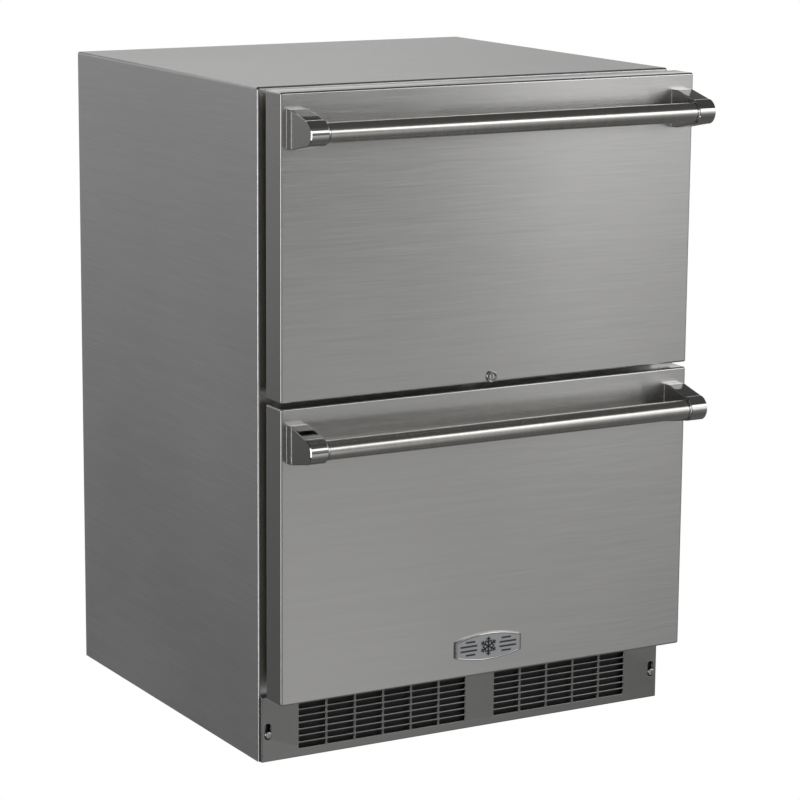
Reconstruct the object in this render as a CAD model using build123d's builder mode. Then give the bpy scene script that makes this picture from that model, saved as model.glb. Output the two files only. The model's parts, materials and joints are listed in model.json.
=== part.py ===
from build123d import *
import math
import os

os.makedirs("parts", exist_ok=True)

# ---------------------------------------------------------------------------
# Driving dimensions, millimetres. +Z is up, the fronts face -Y, and the origin
# is on the floor under the centre of the whole object.
# ---------------------------------------------------------------------------
WIDTH = 606.4  # over the side sheets
HEIGHT = 869.0  # floor to the top sheet
CABINET_DEPTH = 543.0  # front flange to the rear edge
FRONT_THICKNESS = 40.0  # a drawer front, face to back
FRONT_GAP = 20.0  # back of a drawer front to the cabinet flange
HANDLE_REACH = 64.0  # drawer face to the foremost point of a handle
GROUND_GAP = 8.0  # floor to the lower edge of the wrapper
SHEET = 1.2  # wrapper and back sheets
BEND = 3.0  # outer radius of the wrapper's folds

half_width = WIDTH / 2
overall_depth = CABINET_DEPTH + FRONT_GAP + FRONT_THICKNESS + HANDLE_REACH
cabinet_back = overall_depth / 2
cabinet_front = cabinet_back - CABINET_DEPTH
front_back = cabinet_front - FRONT_GAP
front_face = front_back - FRONT_THICKNESS

# Drawer fronts, low and high edge of each
FRONT_HALF = 302.0
LOWER_FRONT = (98.2, 478.6)
UPPER_FRONT = (485.2, 867.7)
SKIN = 1.0
FRONT_EDGE = 2.5  # outer radius of a drawer front's edges
LIP = 12.0  # return lip at the back of a drawer front
PANEL_INSET = 14.5  # edge of a drawer front to its inner panel
PLATEAU_HALF = 262.0  # raised middle of the inner panel
PANEL_WALL = 2.0
SEAL_OUTER = 15.0  # edge of a drawer front to its seal's outer and inner sides
SEAL_INNER = 31.0
SEAL_GAP = 0.3

# Cold space and its two openings
OPENING_HALF = 265.0
LINER_WALL = 2.0
LINER_BACK = 288.0
FLOOR_Z = 135.0
CEILING_Z = 832.0
STEP_Y = 75.0  # the floor rises behind this plane, over the machine space
STEP_Z = 252.0
STRIP = 5.0  # width of the plastic strip round an opening
STRIP_DEPTH = 14.0
MULLION = (447.0, 518.0)
SILL = (95.0, 131.0)
flange_inner = OPENING_HALF + STRIP
flange_top = CEILING_Z + 4.0
liner_front = cabinet_front + STRIP_DEPTH

# Machine space under the foam
MACHINE_FRONT_TOP = 103.0
MACHINE_REAR_TOP = 222.0
FOAM_STEP_WALL = 28.0  # foam between the step of the liner and the machine space
FOAM_BACK = 326.2
FOAM_CLEARANCE = 1.2

# Base pan and levelling legs
PAN_BOTTOM = 14.0
PAN_SHEET = 1.5
PAN_FLANGE_TOP = 34.0
pan_top = PAN_BOTTOM + PAN_SHEET
LEG_X = 262.0
LEG_FRONT_Y = -170.0
LEG_REAR_Y = 292.0
FOOT_RADIUS = 18.0
STUD_RADIUS = 5.0
RUNNING_CLEARANCE = 0.08

# Toe grille
GRILLE_HALF = 302.9
GRILLE_REACH = 8.0
GRILLE = (9.0, 96.0)
SLOT_PITCH_X = 41.75
SLOT_PITCH_Z = 8.77
SLOT_WIDTH = 38.35
SLOT_HEIGHT = 6.15
SLOT_ROWS = 8
SLOT_LEFT = -250.5
SLOT_LOWEST = 20.65
GRILLE_SCREW_X = 293.7
GRILLE_SCREW_Z = 45.0

# Handles
POST_INNER = 268.5
POST_WIDTH = 25.5
POST_BASE_HEIGHT = 49.0
POST_FLANGE = 11.0
POST_NOSE_RADIUS = 14.0
BAR_RADIUS = 12.7
BAR_WALL = 1.5
bar_y = front_face - HANDLE_REACH + POST_NOSE_RADIUS
POST_BASE_DROP = 20.0  # top of a drawer front to the top of the handle's base
SCREW_SPREAD = 14.0

# Drawer bins and slides
BIN_HALF = 252.4
BIN_WALL = 1.5
BIN_BACK = 212.0
PLATEAU_BACK = cabinet_front - 4.5
SLIDE_LENGTH = 400.0
SLIDE_START = -190.0
UPPER_SLIDE_Z = 690.0
LOWER_SLIDE_Z = 330.0

# Lock of the upper drawer
LOCK_Z = 493.0
PLUG_RADIUS = 4.5
BARREL_RADIUS = 6.0
LOCK_RING_RADIUS = 7.75
CAM_BACK = -213.0
CAM_THICKNESS = 2.5
CAM_REACH = 24.0

FORWARD = (0, -1, 0)
REARWARD = (0, 1, 0)


def block(x, y, z, mode=Mode.ADD):
    """Box that spans the low and high values x, y and z."""
    with Locations(((x[0] + x[1]) / 2, (y[0] + y[1]) / 2, (z[0] + z[1]) / 2)):
        Box(x[1] - x[0], y[1] - y[0], z[1] - z[0], mode=mode)


def rod(start, direction, radius, length, mode=Mode.ADD):
    """Cylinder from the point start along direction."""
    with Locations(Plane(origin=start, z_dir=direction)):
        Cylinder(radius, length, align=(Align.CENTER, Align.CENTER, Align.MIN), mode=mode)


def facing_front(y):
    """Sketch plane at y whose own axes are the object's X and Z, and which looks forward."""
    return Plane(origin=(0, y, 0), x_dir=(1, 0, 0), z_dir=FORWARD)


def cold_space_outline(wall):
    """Side outline (Y, Z) of the cold space, grown outwards by wall."""
    return [
        (liner_front, FLOOR_Z - wall),
        (STEP_Y + wall, FLOOR_Z - wall),
        (STEP_Y + wall, STEP_Z - wall),
        (LINER_BACK + wall, STEP_Z - wall),
        (LINER_BACK + wall, CEILING_Z + wall),
        (liner_front, CEILING_Z + wall),
    ]


# ---------------------------------------------------------------------------
# Cabinet
# ---------------------------------------------------------------------------

# Wrapper: one folded sheet for both sides and the top, with front return flanges
with BuildPart() as wrapper_space:
    block(
        (-half_width + SHEET, half_width - SHEET),
        (cabinet_front + SHEET, cabinet_back + 10),
        (GROUND_GAP - 10, HEIGHT - SHEET),
    )
    front = wrapper_space.faces().sort_by(Axis.Y)[0]
    top = wrapper_space.faces().sort_by(Axis.Z)[-1]
    folds = front.edges().filter_by(Axis.Z) + top.edges().filter_by(Axis.Y)
    fillet(folds + [top.edges().sort_by(Axis.Y)[0]], BEND - SHEET)

with BuildPart() as cabinet_wrapper:
    block((-half_width, half_width), (cabinet_front, cabinet_back), (GROUND_GAP, HEIGHT))
    front = cabinet_wrapper.faces().sort_by(Axis.Y)[0]
    top = cabinet_wrapper.faces().sort_by(Axis.Z)[-1]
    folds = front.edges().filter_by(Axis.Z) + top.edges().filter_by(Axis.Y)
    fillet(folds + [top.edges().sort_by(Axis.Y)[0]], BEND)
    add(wrapper_space.part, mode=Mode.SUBTRACT)
    block(
        (-flange_inner, flange_inner),
        (cabinet_front - 1, cabinet_front + BEND),
        (GROUND_GAP - 10, flange_top),
        mode=Mode.SUBTRACT,
    )
cabinet_wrapper.part.label = "cabinet_wrapper"
export_step(cabinet_wrapper.part, "parts/cabinet_wrapper.step")

# Cross rail between the two openings: a channel open to the rear
with BuildPart() as mullion_rail:
    block((-flange_inner, flange_inner), (cabinet_front, cabinet_front + 1.5), MULLION)
    rail_half = OPENING_HALF - 0.2
    block((-rail_half, rail_half), (cabinet_front, cabinet_front + 40), (MULLION[0], MULLION[0] + 1.5))
    block((-rail_half, rail_half), (cabinet_front, cabinet_front + 40), (MULLION[1] - 1.5, MULLION[1]))
mullion_rail.part.label = "mullion_rail"
export_step(mullion_rail.part, "parts/mullion_rail.step")

# Cross rail under the lower opening
with BuildPart() as sill_rail:
    block((-flange_inner, flange_inner), (cabinet_front, cabinet_front + 1.5), SILL)
    block((-flange_inner, flange_inner), (cabinet_front, cabinet_front + 30), (SILL[0], SILL[0] + 1.5))
sill_rail.part.label = "sill_rail"
export_step(sill_rail.part, "parts/sill_rail.step")

# Plastic strips that close the gap between the steel flanges and the liner
openings = [(SILL[1], MULLION[0]), (MULLION[1], flange_top)]
with BuildPart() as breaker_strips:
    for low, high in openings:
        block((-flange_inner, flange_inner), (cabinet_front, liner_front), (low, high))
    for low, high in openings:
        block((-OPENING_HALF, OPENING_HALF), (cabinet_front, liner_front), (low + 4, high - 4), Mode.SUBTRACT)
breaker_strips.part.label = "breaker_strips"
export_step(breaker_strips.part, "parts/breaker_strips.step")

# Liner of the cold space, stepped over the machine space
with BuildPart() as inner_liner:
    with BuildSketch(Plane.YZ):
        with BuildLine():
            Polyline(*cold_space_outline(LINER_WALL), close=True)
        make_face()
    extrude(amount=OPENING_HALF + LINER_WALL, both=True)
    with BuildSketch(Plane.YZ):
        with BuildLine():
            Polyline(*cold_space_outline(0), close=True)
        make_face()
    extrude(amount=OPENING_HALF, both=True, mode=Mode.SUBTRACT)
inner_liner.part.label = "inner_liner"
export_step(inner_liner.part, "parts/inner_liner.step")

# Foam between the liner and the sheets
foam_front = cabinet_front + 1.6
machine_rear_start = STEP_Y + LINER_WALL + FOAM_STEP_WALL
foam_top = HEIGHT - SHEET - FOAM_CLEARANCE
with BuildPart() as foam_insulation:
    with BuildSketch(Plane.YZ):
        with BuildLine():
            Polyline(
                (foam_front, MACHINE_FRONT_TOP),
                (machine_rear_start, MACHINE_FRONT_TOP),
                (machine_rear_start, MACHINE_REAR_TOP),
                (FOAM_BACK, MACHINE_REAR_TOP),
                (FOAM_BACK, foam_top),
                (foam_front, foam_top),
                close=True,
            )
        make_face()
    extrude(amount=half_width - SHEET - FOAM_CLEARANCE, both=True)
    with BuildSketch(Plane.YZ):
        with BuildLine():
            Polyline(*cold_space_outline(LINER_WALL), close=True)
        make_face()
    extrude(amount=OPENING_HALF + LINER_WALL, both=True, mode=Mode.SUBTRACT)
    block((-flange_inner, flange_inner), (foam_front, liner_front), (SILL[1], flange_top), Mode.SUBTRACT)
foam_insulation.part.label = "foam_insulation"
export_step(foam_insulation.part, "parts/foam_insulation.step")

# Rear sheet over the foam, with a row of holes for the rear cover's upper screws
cover_y = FOAM_BACK + SHEET
REAR_SCREW_XS = (-280.0, 0.0, 280.0)
REAR_SCREW_ZS = (24.0, 227.0)
REAR_SCREW_HOLE = 2.2
with BuildPart() as back_panel:
    panel_half = half_width - SHEET - FOAM_CLEARANCE
    block((-panel_half, panel_half), (FOAM_BACK, cover_y), (MACHINE_REAR_TOP, foam_top))
    for x in REAR_SCREW_XS:
        rod((x, FOAM_BACK - 1, REAR_SCREW_ZS[1]), REARWARD, REAR_SCREW_HOLE, SHEET + 2, Mode.SUBTRACT)
back_panel.part.label = "back_panel"
export_step(back_panel.part, "parts/back_panel.step")

# Vented cover of the machine space
REAR_COVER_HALF = 299.0
REAR_COVER_TOP = 232.0
GLAND_X = 235.0
GLAND_Z = 26.0
GLAND_RADIUS = 8.0
CORD_RADIUS = 4.0
with BuildPart() as rear_cover:
    block(
        (-REAR_COVER_HALF, REAR_COVER_HALF), (cover_y, cover_y + SHEET), (pan_top + 0.5, REAR_COVER_TOP)
    )
    with BuildSketch(facing_front(cover_y)):
        with Locations((0, 130)):
            with GridLocations(84, 14, 6, 10):
                SlotOverall(64, 5)
    extrude(amount=-SHEET, mode=Mode.SUBTRACT)
    for x in REAR_SCREW_XS:
        for z in REAR_SCREW_ZS:
            rod((x, cover_y - 1, z), REARWARD, REAR_SCREW_HOLE, SHEET + 2, Mode.SUBTRACT)
    rod((GLAND_X, cover_y - 1, GLAND_Z), REARWARD, GLAND_RADIUS + 0.1, SHEET + 2, Mode.SUBTRACT)
rear_cover.part.label = "rear_cover"
export_step(rear_cover.part, "parts/rear_cover.step")

with BuildPart() as rear_cover_screws:
    for x in REAR_SCREW_XS:
        for z in REAR_SCREW_ZS:
            rod((x, cover_y + SHEET, z), REARWARD, 4.2, 2.3)
            rod((x, cover_y - SHEET + 0.1, z), REARWARD, 2.0, 2 * SHEET)
rear_cover_screws.part.label = "rear_cover_screws"
export_step(rear_cover_screws.part, "parts/rear_cover_screws.step")

# Gland where the supply cord enters
with BuildPart() as inlet_gland:
    rod((GLAND_X, cover_y - 3, GLAND_Z), REARWARD, GLAND_RADIUS, 6)
    rod((GLAND_X, cover_y + SHEET, GLAND_Z), REARWARD, GLAND_RADIUS + 3, 4)
    rod((GLAND_X, cover_y - 4, GLAND_Z), REARWARD, CORD_RADIUS, 12, Mode.SUBTRACT)
inlet_gland.part.label = "inlet_gland"
export_step(inlet_gland.part, "parts/inlet_gland.step")

# Base pan with a threaded boss over each leg
leg_places = [(x, y) for x in (-LEG_X, LEG_X) for y in (LEG_FRONT_Y, LEG_REAR_Y)]
with BuildPart() as base_pan:
    pan_front = cabinet_front + 3
    pan_half = half_width - SHEET
    block((-pan_half, pan_half), (pan_front, cover_y), (PAN_BOTTOM, pan_top))
    for x in (-pan_half, pan_half - PAN_SHEET):
        block((x, x + PAN_SHEET), (pan_front, cover_y), (PAN_BOTTOM, PAN_FLANGE_TOP))
    block((-pan_half, pan_half), (cover_y - PAN_SHEET, cover_y), (PAN_BOTTOM, PAN_FLANGE_TOP))
    for x, y in leg_places:
        rod((x, y, pan_top), (0, 0, 1), 11, 15)
    for x, y in leg_places:
        rod((x, y, PAN_BOTTOM - 1), (0, 0, 1), STUD_RADIUS + RUNNING_CLEARANCE, 20, Mode.SUBTRACT)
    for x in REAR_SCREW_XS:
        rod((x, cover_y - 3, REAR_SCREW_ZS[0]), REARWARD, REAR_SCREW_HOLE, 4, Mode.SUBTRACT)
    rod((GLAND_X, cover_y - 3.5, GLAND_Z), REARWARD, GLAND_RADIUS + 0.2, 5, Mode.SUBTRACT)
base_pan.part.label = "base_pan"
export_step(base_pan.part, "parts/base_pan.step")

# Levelling legs: a foot disc, a hexagon for the spanner and the stud
for side, x in (("left", -LEG_X), ("right", LEG_X)):
    for end, y in (("front", LEG_FRONT_Y), ("rear", LEG_REAR_Y)):
        with BuildPart() as leg:
            rod((x, y, 0), (0, 0, 1), FOOT_RADIUS, 6)
            fillet(leg.edges().filter_by(GeomType.CIRCLE).sort_by(Axis.Z)[-1], 2)
            with BuildSketch(Plane.XY.offset(6)):
                with Locations((x, y)):
                    RegularPolygon(9.8, 6)
            extrude(amount=6)
            rod((x, y, 12), (0, 0, 1), STUD_RADIUS, 40)
            chamfer(leg.edges().filter_by(GeomType.CIRCLE).sort_by(Axis.Z)[-1], 1)
        leg.part.label = f"leg_{end}_{side}"
        export_step(leg.part, f"parts/leg_{end}_{side}.step")

# Toe grille: a shallow pan with two groups of air slots
grille_face = cabinet_front - GRILLE_REACH
with BuildPart() as toe_grille:
    block((-GRILLE_HALF, GRILLE_HALF), (grille_face, cabinet_front), GRILLE)
    fillet(toe_grille.faces().sort_by(Axis.Y)[0].edges(), 1.2)
    block(
        (-GRILLE_HALF + 1, GRILLE_HALF - 1),
        (grille_face + 1, cabinet_front),
        (GRILLE[0] + 1, GRILLE[1] - 1),
        Mode.SUBTRACT,
    )
    with BuildSketch(facing_front(grille_face)):
        row_centre = SLOT_LOWEST + SLOT_HEIGHT / 2 + SLOT_PITCH_Z * (SLOT_ROWS - 1) / 2
        for first, count in ((0, 6), (7, 5)):
            with Locations((SLOT_LEFT + SLOT_PITCH_X * (first + count / 2), row_centre)):
                with GridLocations(SLOT_PITCH_X, SLOT_PITCH_Z, count, SLOT_ROWS):
                    Rectangle(SLOT_WIDTH, SLOT_HEIGHT)
        with Locations((-GRILLE_SCREW_X, GRILLE_SCREW_Z + 4), (GRILLE_SCREW_X, GRILLE_SCREW_Z + 4)):
            SlotOverall(21, 8, rotation=90)
    extrude(amount=-2, mode=Mode.SUBTRACT)
toe_grille.part.label = "toe_grille"
export_step(toe_grille.part, "parts/toe_grille.step")

with BuildPart() as grille_screws:
    for x in (-GRILLE_SCREW_X, GRILLE_SCREW_X):
        rod((x, grille_face, GRILLE_SCREW_Z), FORWARD, 4.8, 2.2)
        rod((x, cabinet_front, GRILLE_SCREW_Z), FORWARD, 2.0, GRILLE_REACH)
    heads = grille_screws.edges().filter_by(GeomType.CIRCLE).group_by(Axis.Y)[0]
    fillet(heads, 1.2)
grille_screws.part.label = "grille_screws"
export_step(grille_screws.part, "parts/grille_screws.step")

# ---------------------------------------------------------------------------
# Cooling machinery
# ---------------------------------------------------------------------------

COMPRESSOR_X = 160.0
COMPRESSOR_Y = 215.0
FEET_Z = 30.0
grommet_places = [
    (COMPRESSOR_X + dx, COMPRESSOR_Y + dy) for dx in (-80, 80) for dy in (-55, 55)
]
with BuildPart() as compressor:
    with BuildSketch(Plane.XY.offset(FEET_Z + 3)):
        with Locations((COMPRESSOR_X, COMPRESSOR_Y)):
            Ellipse(72, 88)
    extrude(amount=145)
    fillet(compressor.faces().sort_by(Axis.Z)[-1].edges(), 34)
    fillet(compressor.faces().sort_by(Axis.Z)[0].edges(), 12)
    with BuildSketch(Plane.XY.offset(FEET_Z)):
        with Locations((COMPRESSOR_X, COMPRESSOR_Y)):
            RectangleRounded(184, 136, 14)
        with Locations(*grommet_places):
            Circle(5, mode=Mode.SUBTRACT)
    extrude(amount=4)
    rod((COMPRESSOR_X - 60, 240, 150), (-1, 0, 0), 4.5, 20)
    rod((COMPRESSOR_X, COMPRESSOR_Y + 30, 170), (0, 0, 1), 5, 30)
    block((COMPRESSOR_X + 60, COMPRESSOR_X + 100), (185, 245), (70, 120))
compressor.part.label = "compressor"
export_step(compressor.part, "parts/compressor.step")

with BuildPart() as compressor_grommets:
    with BuildSketch(Plane.XY.offset(pan_top)):
        with Locations(*grommet_places):
            Circle(12)
            Circle(4.2, mode=Mode.SUBTRACT)
    extrude(amount=FEET_Z - pan_top)
compressor_grommets.part.label = "compressor_grommets"
export_step(compressor_grommets.part, "parts/compressor_grommets.step")

# Condenser: fins on a serpentine tube, blown through sideways by its fan
CONDENSER_XS = (-182.0, -160.0, -138.0)
CONDENSER_Y = (130.0, 290.0)
CONDENSER_Z = (26.0, 186.0)
CONDENSER_ROWS = [38.0 + 34.0 * i for i in range(5)]
TUBE_RADIUS = 4.0
with BuildPart() as condenser_coil:
    fin_count = 21
    fin_pitch = (CONDENSER_Y[1] - CONDENSER_Y[0]) / (fin_count - 1)
    for i in range(fin_count):
        y = CONDENSER_Y[0] + i * fin_pitch
        block((-195, -125), (y - 0.4, y + 0.4), CONDENSER_Z)
    for x in CONDENSER_XS:
        for z in CONDENSER_ROWS:
            rod((x, CONDENSER_Y[0] - 4, z), REARWARD, TUBE_RADIUS, CONDENSER_Y[1] - CONDENSER_Y[0] + 8)
        for i in range(len(CONDENSER_ROWS) - 1):
            rearmost = i % 2 == 0
            y = CONDENSER_Y[1] + 4 if rearmost else CONDENSER_Y[0] - 4
            low, high = CONDENSER_ROWS[i], CONDENSER_ROWS[i + 1]
            rod((x, y, low - TUBE_RADIUS), (0, 0, 1), TUBE_RADIUS, high - low + 2 * TUBE_RADIUS)
    for z in (CONDENSER_ROWS[0], CONDENSER_ROWS[-1]):
        header_length = CONDENSER_XS[2] - CONDENSER_XS[0]
        rod((CONDENSER_XS[0], CONDENSER_Y[0] - 4, z), (1, 0, 0), TUBE_RADIUS, header_length)
    rod((CONDENSER_XS[0], 290, CONDENSER_ROWS[-1]), (0, 0, 1), 3, 24)
    rod((CONDENSER_XS[2], 290, CONDENSER_ROWS[0]), REARWARD, 3, 12)
condenser_coil.part.label = "condenser_coil"
export_step(condenser_coil.part, "parts/condenser_coil.step")

FAN_Y = 215.0
FAN_Z = 107.0
SHROUD_X = -118.0
COLLAR_RADIUS = 77.0
with BuildPart() as condenser_shroud:
    block((SHROUD_X - 1.5, SHROUD_X), (112, 304), (pan_top + 1, 198))
    rod((SHROUD_X - 1.5, FAN_Y, FAN_Z), (1, 0, 0), COLLAR_RADIUS + 1.5, 28)
    rod((SHROUD_X - 2, FAN_Y, FAN_Z), (1, 0, 0), COLLAR_RADIUS, 40, Mode.SUBTRACT)
    block((SHROUD_X - 1.5, SHROUD_X + 12), (112, 304), (pan_top, pan_top + 1.5))
condenser_shroud.part.label = "condenser_shroud"
export_step(condenser_shroud.part, "parts/condenser_shroud.step")

MOTOR_FRONT = -80.0
with BuildPart() as condenser_fan_motor:
    rod((MOTOR_FRONT, FAN_Y, FAN_Z), (1, 0, 0), 32, 45)
    fillet(condenser_fan_motor.edges().filter_by(GeomType.CIRCLE).sort_by(Axis.X)[-1], 8)
    with BuildSketch(Plane.YZ.offset(MOTOR_FRONT)):
        with Locations((FAN_Y, FAN_Z)):
            with PolarLocations(58, 3, start_angle=90):
                Rectangle(56, 12)
    extrude(amount=4)
    with BuildSketch(Plane.YZ.offset(SHROUD_X)):
        with Locations((FAN_Y, FAN_Z)):
            with PolarLocations(83.5, 3, start_angle=90):
                Rectangle(5, 12)
    extrude(amount=MOTOR_FRONT - SHROUD_X + 4)
    rod((MOTOR_FRONT, FAN_Y, FAN_Z), (1, 0, 0), 3 + RUNNING_CLEARANCE, 12, Mode.SUBTRACT)
condenser_fan_motor.part.label = "condenser_fan_motor"
export_step(condenser_fan_motor.part, "parts/condenser_fan_motor.step")

# Fan blades: tilted plates between the hub and the tip
with BuildPart() as condenser_fan_rotor:
    hub_x = SHROUD_X + 2
    rod((hub_x, FAN_Y, FAN_Z), (1, 0, 0), 21, 22)
    fillet(condenser_fan_rotor.edges().filter_by(GeomType.CIRCLE).sort_by(Axis.X)[0], 4)
    for i in range(5):
        angle = math.radians(72 * i)
        radial = Vector(0, math.cos(angle), math.sin(angle))
        tangent = Vector(0, -math.sin(angle), math.cos(angle))
        pitch = Vector(math.cos(math.radians(60)), 0, 0) + tangent * math.sin(math.radians(60))
        middle = Vector(hub_x + 11, FAN_Y, FAN_Z) + radial * 44
        with Locations(Plane(origin=middle, x_dir=radial, z_dir=pitch.cross(radial))):
            Box(50, 38, 1.6)
    rod((hub_x + 22, FAN_Y, FAN_Z), (1, 0, 0), 3, 24)
condenser_fan_rotor.part.label = "condenser_fan_rotor"
export_step(condenser_fan_rotor.part, "parts/condenser_fan_rotor.step")

DRIER_Y = 312.0
with BuildPart() as filter_drier:
    rod((0, DRIER_Y, 72), (0, 0, 1), 9, 66)
    chamfer(filter_drier.edges().filter_by(GeomType.CIRCLE), 5, 4)
    rod((0, DRIER_Y, 62), (0, 0, 1), 3.2, 86)
filter_drier.part.label = "filter_drier"
export_step(filter_drier.part, "parts/filter_drier.step")

# Copper lines: hot gas to the condenser, liquid to the drier, and two risers into the foam
gas_route = [
    (COMPRESSOR_X - 80, 240, 150),
    (50, 240, 150),
    (50, DRIER_Y, 150),
    (50, DRIER_Y, 211),
    (CONDENSER_XS[0], DRIER_Y, 211),
    (CONDENSER_XS[0], 290, 211),
    (CONDENSER_XS[0], 290, CONDENSER_ROWS[-1] + 24),
]
liquid_route = [
    (CONDENSER_XS[2], 302, CONDENSER_ROWS[0]),
    (CONDENSER_XS[2], DRIER_Y, CONDENSER_ROWS[0]),
    (0, DRIER_Y, CONDENSER_ROWS[0]),
    (0, DRIER_Y, 62),
]
with BuildPart() as refrigerant_lines:
    with BuildLine():
        gas_path = FilletPolyline(*gas_route, radius=[12, 12, 12, 10, 8])
    with BuildSketch(Plane(origin=gas_route[0], z_dir=(-1, 0, 0))):
        Circle(3)
    sweep(path=gas_path)
    with BuildLine():
        liquid_path = FilletPolyline(*liquid_route, radius=[8, 12])
    with BuildSketch(Plane(origin=liquid_route[0], z_dir=(0, 1, 0))):
        Circle(2.5)
    sweep(path=liquid_path)
    rod((0, DRIER_Y, 148), (0, 0, 1), 1.5, MACHINE_REAR_TOP - 148)
    rod((COMPRESSOR_X, COMPRESSOR_Y + 30, 200), (0, 0, 1), 4, MACHINE_REAR_TOP - 200)
refrigerant_lines.part.label = "refrigerant_lines"
export_step(refrigerant_lines.part, "parts/refrigerant_lines.step")

# Tray that catches the defrost water
with BuildPart() as drip_pan:
    block((-60, 220), (-60, 90), (pan_top, 44))
    fillet(drip_pan.edges().filter_by(Axis.Z), 12)
    offset(amount=-2, openings=drip_pan.faces().sort_by(Axis.Z)[-1])
drip_pan.part.label = "drip_pan"
export_step(drip_pan.part, "parts/drip_pan.step")

# Evaporator on the rear wall, behind its cover
EVAPORATOR_HALF = 190.0
EVAPORATOR_Y = (244.0, 284.0)
EVAPORATOR_Z = (300.0, 500.0)
with BuildPart() as evaporator_coil:
    fin_count = 31
    fin_pitch = 2 * EVAPORATOR_HALF / (fin_count - 1)
    for i in range(fin_count):
        x = -EVAPORATOR_HALF + i * fin_pitch
        block((x - 0.3, x + 0.3), EVAPORATOR_Y, EVAPORATOR_Z)
    for x in (-EVAPORATOR_HALF, EVAPORATOR_HALF):
        block((x - 1, x + 1), (EVAPORATOR_Y[0], LINER_BACK), EVAPORATOR_Z)
    for y in (EVAPORATOR_Y[0] + 10, EVAPORATOR_Y[1] - 10):
        for i in range(6):
            z = EVAPORATOR_Z[0] + 20 + 32 * i
            rod((-EVAPORATOR_HALF - 4, y, z), (1, 0, 0), TUBE_RADIUS, 2 * EVAPORATOR_HALF + 8)
            x = (EVAPORATOR_HALF + 4) * (1 if i % 2 == 0 else -1)
            if i < 5:
                rod((x, y, z - TUBE_RADIUS), (0, 0, 1), TUBE_RADIUS, 32 + 2 * TUBE_RADIUS)
evaporator_coil.part.label = "evaporator_coil"
export_step(evaporator_coil.part, "parts/evaporator_coil.step")

EVAPORATOR_FAN_Z = 640.0
COVER_FACE = 234.0
with BuildPart() as evaporator_cover:
    block((-264.5, 264.5), (COVER_FACE, COVER_FACE + 1.5), (STEP_Z + 0.5, CEILING_Z - 0.5))
    with BuildSketch(facing_front(COVER_FACE)):
        for i in range(-5, 6):
            with Locations((0, EVAPORATOR_FAN_Z + 9 * i)):
                Rectangle(2 * math.sqrt(52**2 - (9 * i) ** 2), 5)
        with Locations((0, STEP_Z + 24)):
            with GridLocations(60, 0, 7, 1):
                SlotOverall(44, 8)
    extrude(amount=-2, mode=Mode.SUBTRACT)
evaporator_cover.part.label = "evaporator_cover"
export_step(evaporator_cover.part, "parts/evaporator_cover.step")

with BuildPart() as evaporator_fan_frame:
    fan_front = COVER_FACE + 1.5
    block((-59.5, 59.5), (fan_front, fan_front + 26), (EVAPORATOR_FAN_Z - 59.5, EVAPORATOR_FAN_Z + 59.5))
    fillet(evaporator_fan_frame.edges().filter_by(Axis.Y), 6)
    rod((0, fan_front - 1, EVAPORATOR_FAN_Z), REARWARD, 56, 30, Mode.SUBTRACT)
    rod((0, fan_front + 21, EVAPORATOR_FAN_Z), REARWARD, 19, 5)
    for x, z in ((1, 0), (0, 1)):
        block(
            (-57 * x - 3, 57 * x + 3),
            (fan_front + 22, fan_front + 25),
            (EVAPORATOR_FAN_Z - 57 * z - 3, EVAPORATOR_FAN_Z + 57 * z + 3),
        )
    rod((0, fan_front + 20, EVAPORATOR_FAN_Z), REARWARD, 2 + RUNNING_CLEARANCE, 5, Mode.SUBTRACT)
evaporator_fan_frame.part.label = "evaporator_fan_frame"
export_step(evaporator_fan_frame.part, "parts/evaporator_fan_frame.step")

with BuildPart() as evaporator_fan_rotor:
    rod((0, fan_front + 3, EVAPORATOR_FAN_Z), REARWARD, 20, 16)
    for i in range(7):
        angle = 2 * math.pi * i / 7
        radial = Vector(math.cos(angle), 0, math.sin(angle))
        tangent = Vector(-math.sin(angle), 0, math.cos(angle))
        pitch = Vector(0, math.cos(math.radians(60)), 0) + tangent * math.sin(math.radians(60))
        middle = Vector(0, fan_front + 11, EVAPORATOR_FAN_Z) + radial * 36
        with Locations(Plane(origin=middle, x_dir=radial, z_dir=pitch.cross(radial))):
            Box(34, 26, 1.4)
    rod((0, fan_front + 19, EVAPORATOR_FAN_Z), REARWARD, 2, 4.5)
evaporator_fan_rotor.part.label = "evaporator_fan_rotor"
export_step(evaporator_fan_rotor.part, "parts/evaporator_fan_rotor.step")

# ---------------------------------------------------------------------------
# Control panel and light under the ceiling
# ---------------------------------------------------------------------------

CONTROL_FRONT = -193.0
CONTROL_Z = 819.0
BUTTON_XS = (20.0, 44.0, 68.0)
BUTTON_RADIUS = 4.6
with BuildPart() as control_housing:
    block((-95, 95), (CONTROL_FRONT, CONTROL_FRONT + 75), (CONTROL_Z - 13, CEILING_Z))
    fillet(control_housing.edges().filter_by(Axis.Z), 5)
    block((-92, 92), (CONTROL_FRONT + 2, CONTROL_FRONT + 72), (CONTROL_Z - 11, CEILING_Z), Mode.SUBTRACT)
    for x in BUTTON_XS:
        rod((x, CONTROL_FRONT - 1, CONTROL_Z), REARWARD, BUTTON_RADIUS + 0.4, 5, Mode.SUBTRACT)
    block((-78, -30), (CONTROL_FRONT, CONTROL_FRONT + 0.6), (CONTROL_Z - 8, CONTROL_Z + 8), Mode.SUBTRACT)
control_housing.part.label = "control_housing"
export_step(control_housing.part, "parts/control_housing.step")

for number, x in enumerate(BUTTON_XS, start=1):
    with BuildPart() as button:
        rod((x, CONTROL_FRONT + 4, CONTROL_Z), FORWARD, BUTTON_RADIUS, 6)
        fillet(button.edges().filter_by(GeomType.CIRCLE).sort_by(Axis.Y)[0], 0.8)
        rod((x, CONTROL_FRONT + 4, CONTROL_Z), FORWARD, BUTTON_RADIUS + 1.6, 1.2)
    button.part.label = f"control_button_{number}"
    export_step(button.part, f"parts/control_button_{number}.step")

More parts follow.
